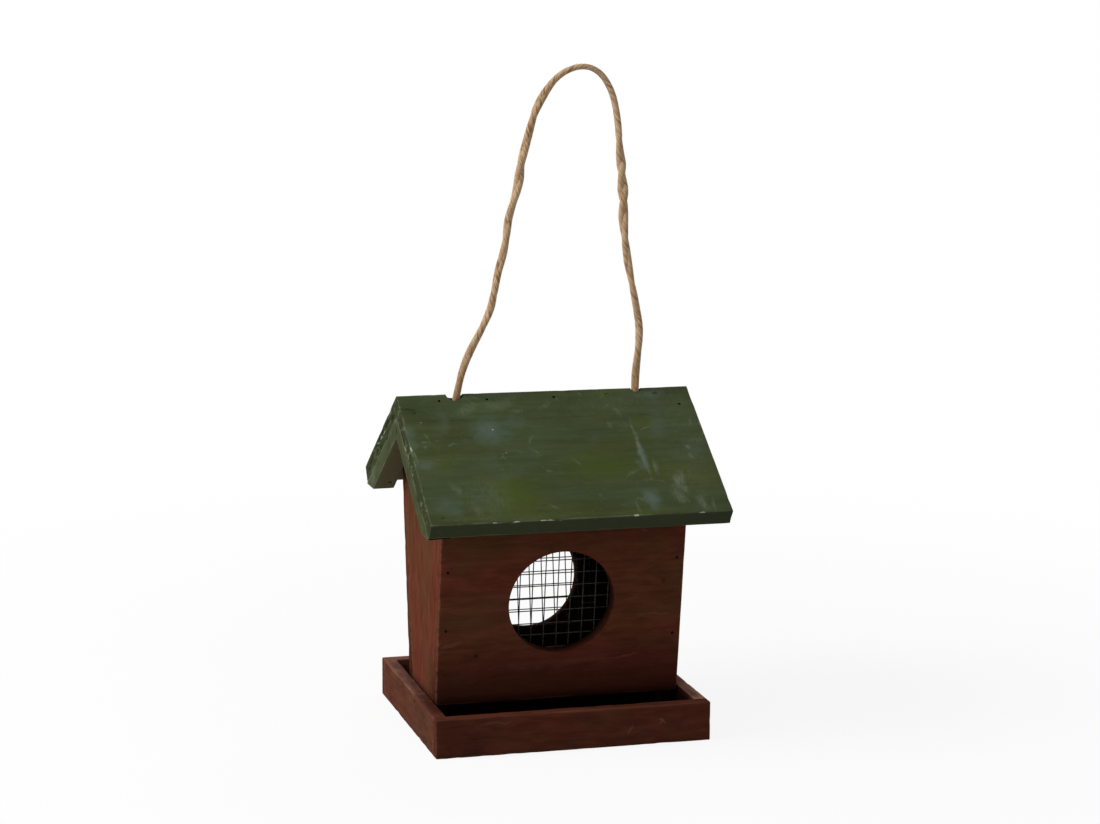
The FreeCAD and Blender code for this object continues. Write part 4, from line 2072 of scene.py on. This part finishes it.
WIRE_PANELS = (
    WirePanel("front", -1, 21, 0.1 * MM, -0.6 * MM, 6.5 * MM, 6.43 * MM, ((-3, 0.5 * MM),)),
    WirePanel("rear", 1, 22, 0.8 * MM, 1.4 * MM, 6.7 * MM, 6.35 * MM, ((-3, 1.25 * MM), (-4, -0.4 * MM))),
)

EAVE_DOWN = 89.3


def marks(rows: dict[Hue, tuple[tuple[float, ...], ...]]) -> tuple[Mark, ...]:
    """Marks from rows of along, across, length, width, turn and strength, by hue."""
    return tuple(Mark(hue, *row) for hue, sizes in rows.items() for row in sizes)


ROOF_MARKS = marks({
    Hue.OLIVE: (
        (-54.8, 73.7, 4, 2.5, 0, 0.6), (-30, 71, 13, 14, 0, 0.8), (16.8, 56, 20, 11, 0, 0.6),
        (33, 3, 8, 4, 0, 0.6), (44, 24, 6, 3.6, 0, 0.75),
    ),
    Hue.BLOOM: (
        (-33, 27, 8.5, 9, 20, 0.75), (-20.8, 22, 7, 5, 0, 0.3), (-72.4, 26, 3, 5, 0, 0.6),
        (-72.6, 34, 3, 5, 0, 0.5), (-69, 48.5, 6, 3.5, 0, 0.55), (-63, 77, 8, 7, 0, 0.4),
        (39.2, 49, 9, 1.8, 90, 1), (37.8, 55, 3.6, 3, 60, 0.6), (36.2, 77.5, 6.5, 4, 84, 0.95),
        (55, 5, 6, 3, 0, 0.35), (51.5, 29, 15, 4, 100, 0.26),
    ),
    Hue.SCUFF: (
        (39, 42, 20, 1, 90, 0.95), (31.3, 60.5, 5.6, 0.8, -39, 0.45), (34.4, 17, 3.6, 1.5, 80, 0.5),
        (45.3, 28.9, 2.6, 0.6, -25, 0.7), (43.4, 56, 5, 1.4, 92, 0.6), (53, 67, 6.5, 3.2, 104, 0.9),
        (54.5, 72, 5, 2, 76, 0.7), (51, 77, 6.5, 3.6, 84, 0.8), (60.6, 82, 5.5, 2.4, 92, 0.7),
        (66, 84, 4, 1.2, 96, 0.5), (28, 83, 4, 0.8, 90, 0.5), (59.6, 61.5, 3, 0.8, 80, 0.35),
        (63.8, 44, 2.2, 1.8, 90, 0.7), (64.2, 50, 5, 1.2, 74, 0.55), (69.3, 27, 3.6, 0.8, 102, 0.5),
        (68.5, 39, 4.4, 0.5, 0, 0.35), (46.8, 5, 3.2, 0.5, 60, 0.5), (-38, 6, 3.6, 0.5, 65, 0.4),
        (-35.5, 2.5, 2.6, 0.5, 25, 0.45), (-41, 11, 6, 3.4, -38, 0.42), (-23, 8, 10, 4, -24, 0.36),
        (-16.8, 13.4, 4, 1.6, 0, 0.4), (-13.8, 42, 4.6, 0.6, 50, 0.35), (-9.1, 56.4, 1.8, 1, 0, 0.55),
        (-12.4, 80.3, 2, 0.9, 45, 0.45), (-43, 72, 13, 11, 0, 0.3), (-50, 79, 6, 2.6, 80, 0.4),
        (-57, 66, 5, 2.4, 60, 0.45), (-1.3, 9.8, 5, 1.6, -30, 0.4), (-64.6, 28.2, 2.2, 0.7, 60, 0.5),
        (-53.9, 35.3, 2.4, 0.6, -30, 0.45), (-13.9, 34.2, 3.4, 0.6, -60, 0.4),
        (27, 25, 3.4, 1.4, 90, 0.4), (5.6, 51, 3, 0.8, 40, 0.35), (36, 9, 46, 17, 0, 0.17),
        (64, 42, 16, 44, 0, 0.14), (-73.6, 41, 4, 1, 84, 0.9),
    ),
    Hue.DENT: (
        (-55, 38, 15, 12, 0, 0.1), (-67.2, 12.6, 1.1, 0.8, 0, 0.6), (-69.5, 10, 4.6, 1.4, 10, 0.45),
        (31.8, 3.8, 1, 0.8, 0, 0.6), (56.9, 4.4, 1.1, 0.8, 0, 0.6), (-67, 84, 0.9, 0.7, 0, 0.55),
    ),
    Hue.CHIP: (
        (-31, 26.4, 0.4, 0.45, 0, 0.7), (-28.5, 42, 0.35, 0.4, 0, 0.6), (-65.8, 19.4, 0.7, 0.35, 0, 0.4),
        (-74, 37, 1.4, 0.4, 86, 0.6),
    ),
})
EAVE_CHIPS = ((-42.9, 2.0), (-36.0, 4.0), (-19.3, 1.6), (-13.6, 3.6), (25.3, 1.2), (40.3, 1.3), (47.1, 2.0),
              (58.3, 2.2))
PAINTED_HEADS = (
    (-67.2, -10.4, 158.3), (31.8, -3.0, 163.3), (56.9, -3.0, 163.3), (-65.75, -60.7, 9.75),
    (65.75, -60.7, 9.75), (-57.75, -30.7, 33.1), (57.75, -29.7, 26.6),
)
PAINT_REACH = 2.0 * MM
GABLE_MARKS = marks({
    Hue.DENT: (
        (7.7, 155, 4.5, 1.6, -24, 0.9), (19.4, 150.5, 4, 1, -24, 0.9), (22.3, 147.8, 3.5, 0.9, -24, 0.9),
        (31.4, 143.6, 3.5, 0.8, -24, 0.9), (38.9, 138.5, 3.5, 0.8, -24, 0.9),
        (45.1, 133.5, 3.5, 0.8, -24, 0.9), (35.8, 136.2, 3, 0.7, -24, 0.8),
        (43.7, 130.9, 3, 0.7, -24, 0.8), (59, 123.2, 5, 1, -24, 0.7), (63.8, 118.4, 4, 0.9, -24, 0.6),
        (-33, 134.5, 6, 0.8, 33, 0.7), (-49, 123.5, 8, 0.9, 33, 0.7), (-14, 149.5, 7, 0.8, 33, 0.6),
    ),
    Hue.CHIP: (
        (27.3, 143.8, 3.2, 0.55, -24, 0.4), (34.3, 140.6, 3.6, 0.5, -24, 0.4),
        (41.9, 135.4, 3.2, 0.45, -24, 0.35), (-12.5, 137.6, 4.2, 0.6, 33, 0.75),
        (-20.5, 144.2, 2.4, 0.45, 20, 0.5), (-27.2, 141.2, 1.6, 0.5, 60, 0.45),
    ),
    Hue.SCUFF: (
        (2.1, 163.1, 3, 0.7, -40, 0.6), (4.7, 159.5, 3, 0.6, -40, 0.6), (57, 115, 11, 5, -33, 0.4),
        (-24.6, 141.8, 3.2, 0.7, 33, 0.7),
    ),
})
END_MARKS = marks({
    Hue.MOSS: ((-37, 70, 6, 60, 6, 0.55), (-22, 28, 17, 13, 0, 0.8)),
    Hue.PALE: ((-32, 40, 1, 16, 4, 0.3),),
    # The dark patch at the front of the foot is painted shade.
    Hue.DARK: ((-28, 23, 16, 22, 0, 0.42),),
})
WALL_MARKS = marks({
    Hue.PALE: (
        (48.5, 58.8, 12, 0.5, 0, 0.32), (-55.5, 48.5, 5.6, 1.2, 16, 0.3), (33, 37.5, 9, 0.7, 3, 0.25),
        (-22, 104, 1.2, 0.8, 60, 0.4), (40, 103, 3, 0.8, -30, 0.25), (0, 36, 30, 2.2, 1, 0.12),
    ),
    Hue.MOSS: (
        (-46, 98, 16, 14, 0, 0.6), (-44, 62, 12, 12, 0, 0.45), (8, 106, 22, 6, 0, 0.4),
        (46, 96, 10, 8, 0, 0.4),
    ),
    Hue.DARK: (
        (-42.3, 42, 1.7, 1.4, 0, 0.7), (51.5, 76, 0.9, 0.8, 0, 0.5), (-57.75, 33, 1, 0.8, 0, 0.5),
    ),
})
SIDE_RAIL_MARKS = marks({
    Hue.RUST: ((-46, -64.5, 38, 12, 0, 0.95),),
    Hue.PALE: ((-8, -64.5, 2.6, 0.5, 60, 0.5),),
})
RAIL_MARKS = marks({
    Hue.PALE: (
        (44.3, 11.5, 2, 0.5, 50, 0.55), (45, 11.9, 1.4, 0.5, -30, 0.5), (43.6, 12.6, 1.2, 0.6, 0, 0.45),
        (28.7, 8.5, 2.6, 0.6, 60, 0.32), (-40, 16, 9, 0.9, 3, 0.25),
    ),
    Hue.DARK: ((-56, 9, 15, 11, 0, 0.3),),
})


def open_heads(nodes: Sequence[str]) -> list[tuple[Vector, Vector]]:
    """Finds the nails that show.

    Args:
        nodes: nodes of separate nails.

    Returns:
        Their heads, as for one node, without those that the finish has filled.
    """
    heads = [head for node in nodes for head in nail_heads(node)]
    filled = [Vector(spot) * MM for spot in PAINTED_HEADS]
    return [head for head in heads if all((head[0] - spot).length > PAINT_REACH for spot in filled)]


def dress_metal() -> bpy.types.Material:
    """Gives nails and staples their finishes.

    Returns:
        The finish of the window wires.
    """
    nail = DullSteel(tint(46, 37, 32), tint(24, 18, 15), 0.6, 0.3).material("nail_steel_finish")
    wire = DullSteel().material("window_wire_finish")
    for names, finish in ((HOUSE_NAILS + ROOF_NAILS, nail), (STAPLES, wire)):
        for name in names:
            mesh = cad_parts[name].data
            mesh.materials.clear()
            mesh.materials.append(finish)
            log.info("%s: dressed", name)
    return wire


def main() -> None:
    """Builds the feeder's sub-assemblies in order, then the studio."""
    logging.basicConfig(level=logging.INFO, format="%(message)s")
    PhotoCamera().place()
    Studio().build()
    HangingCord(JuteFibre().material("jute_finish")).build()
    wire = dress_metal()
    house_heads = open_heads(HOUSE_NAILS)
    roof_heads = open_heads(ROOF_NAILS)
    stain = BrownStain()
    Tray(house_heads, "house", "brown_wood", stain).build()
    hopper = Hopper(house_heads, "house", "brown_wood", stain)
    hopper.build()
    Roof(roof_heads, "roof", "green_wood", GreenPaint(), eave_chips=EAVE_CHIPS).build()
    windows = WindowMesh(hopper, wire)
    for panel in WIRE_PANELS:
        windows.build(panel)


if __name__ == "__main__":
    main()
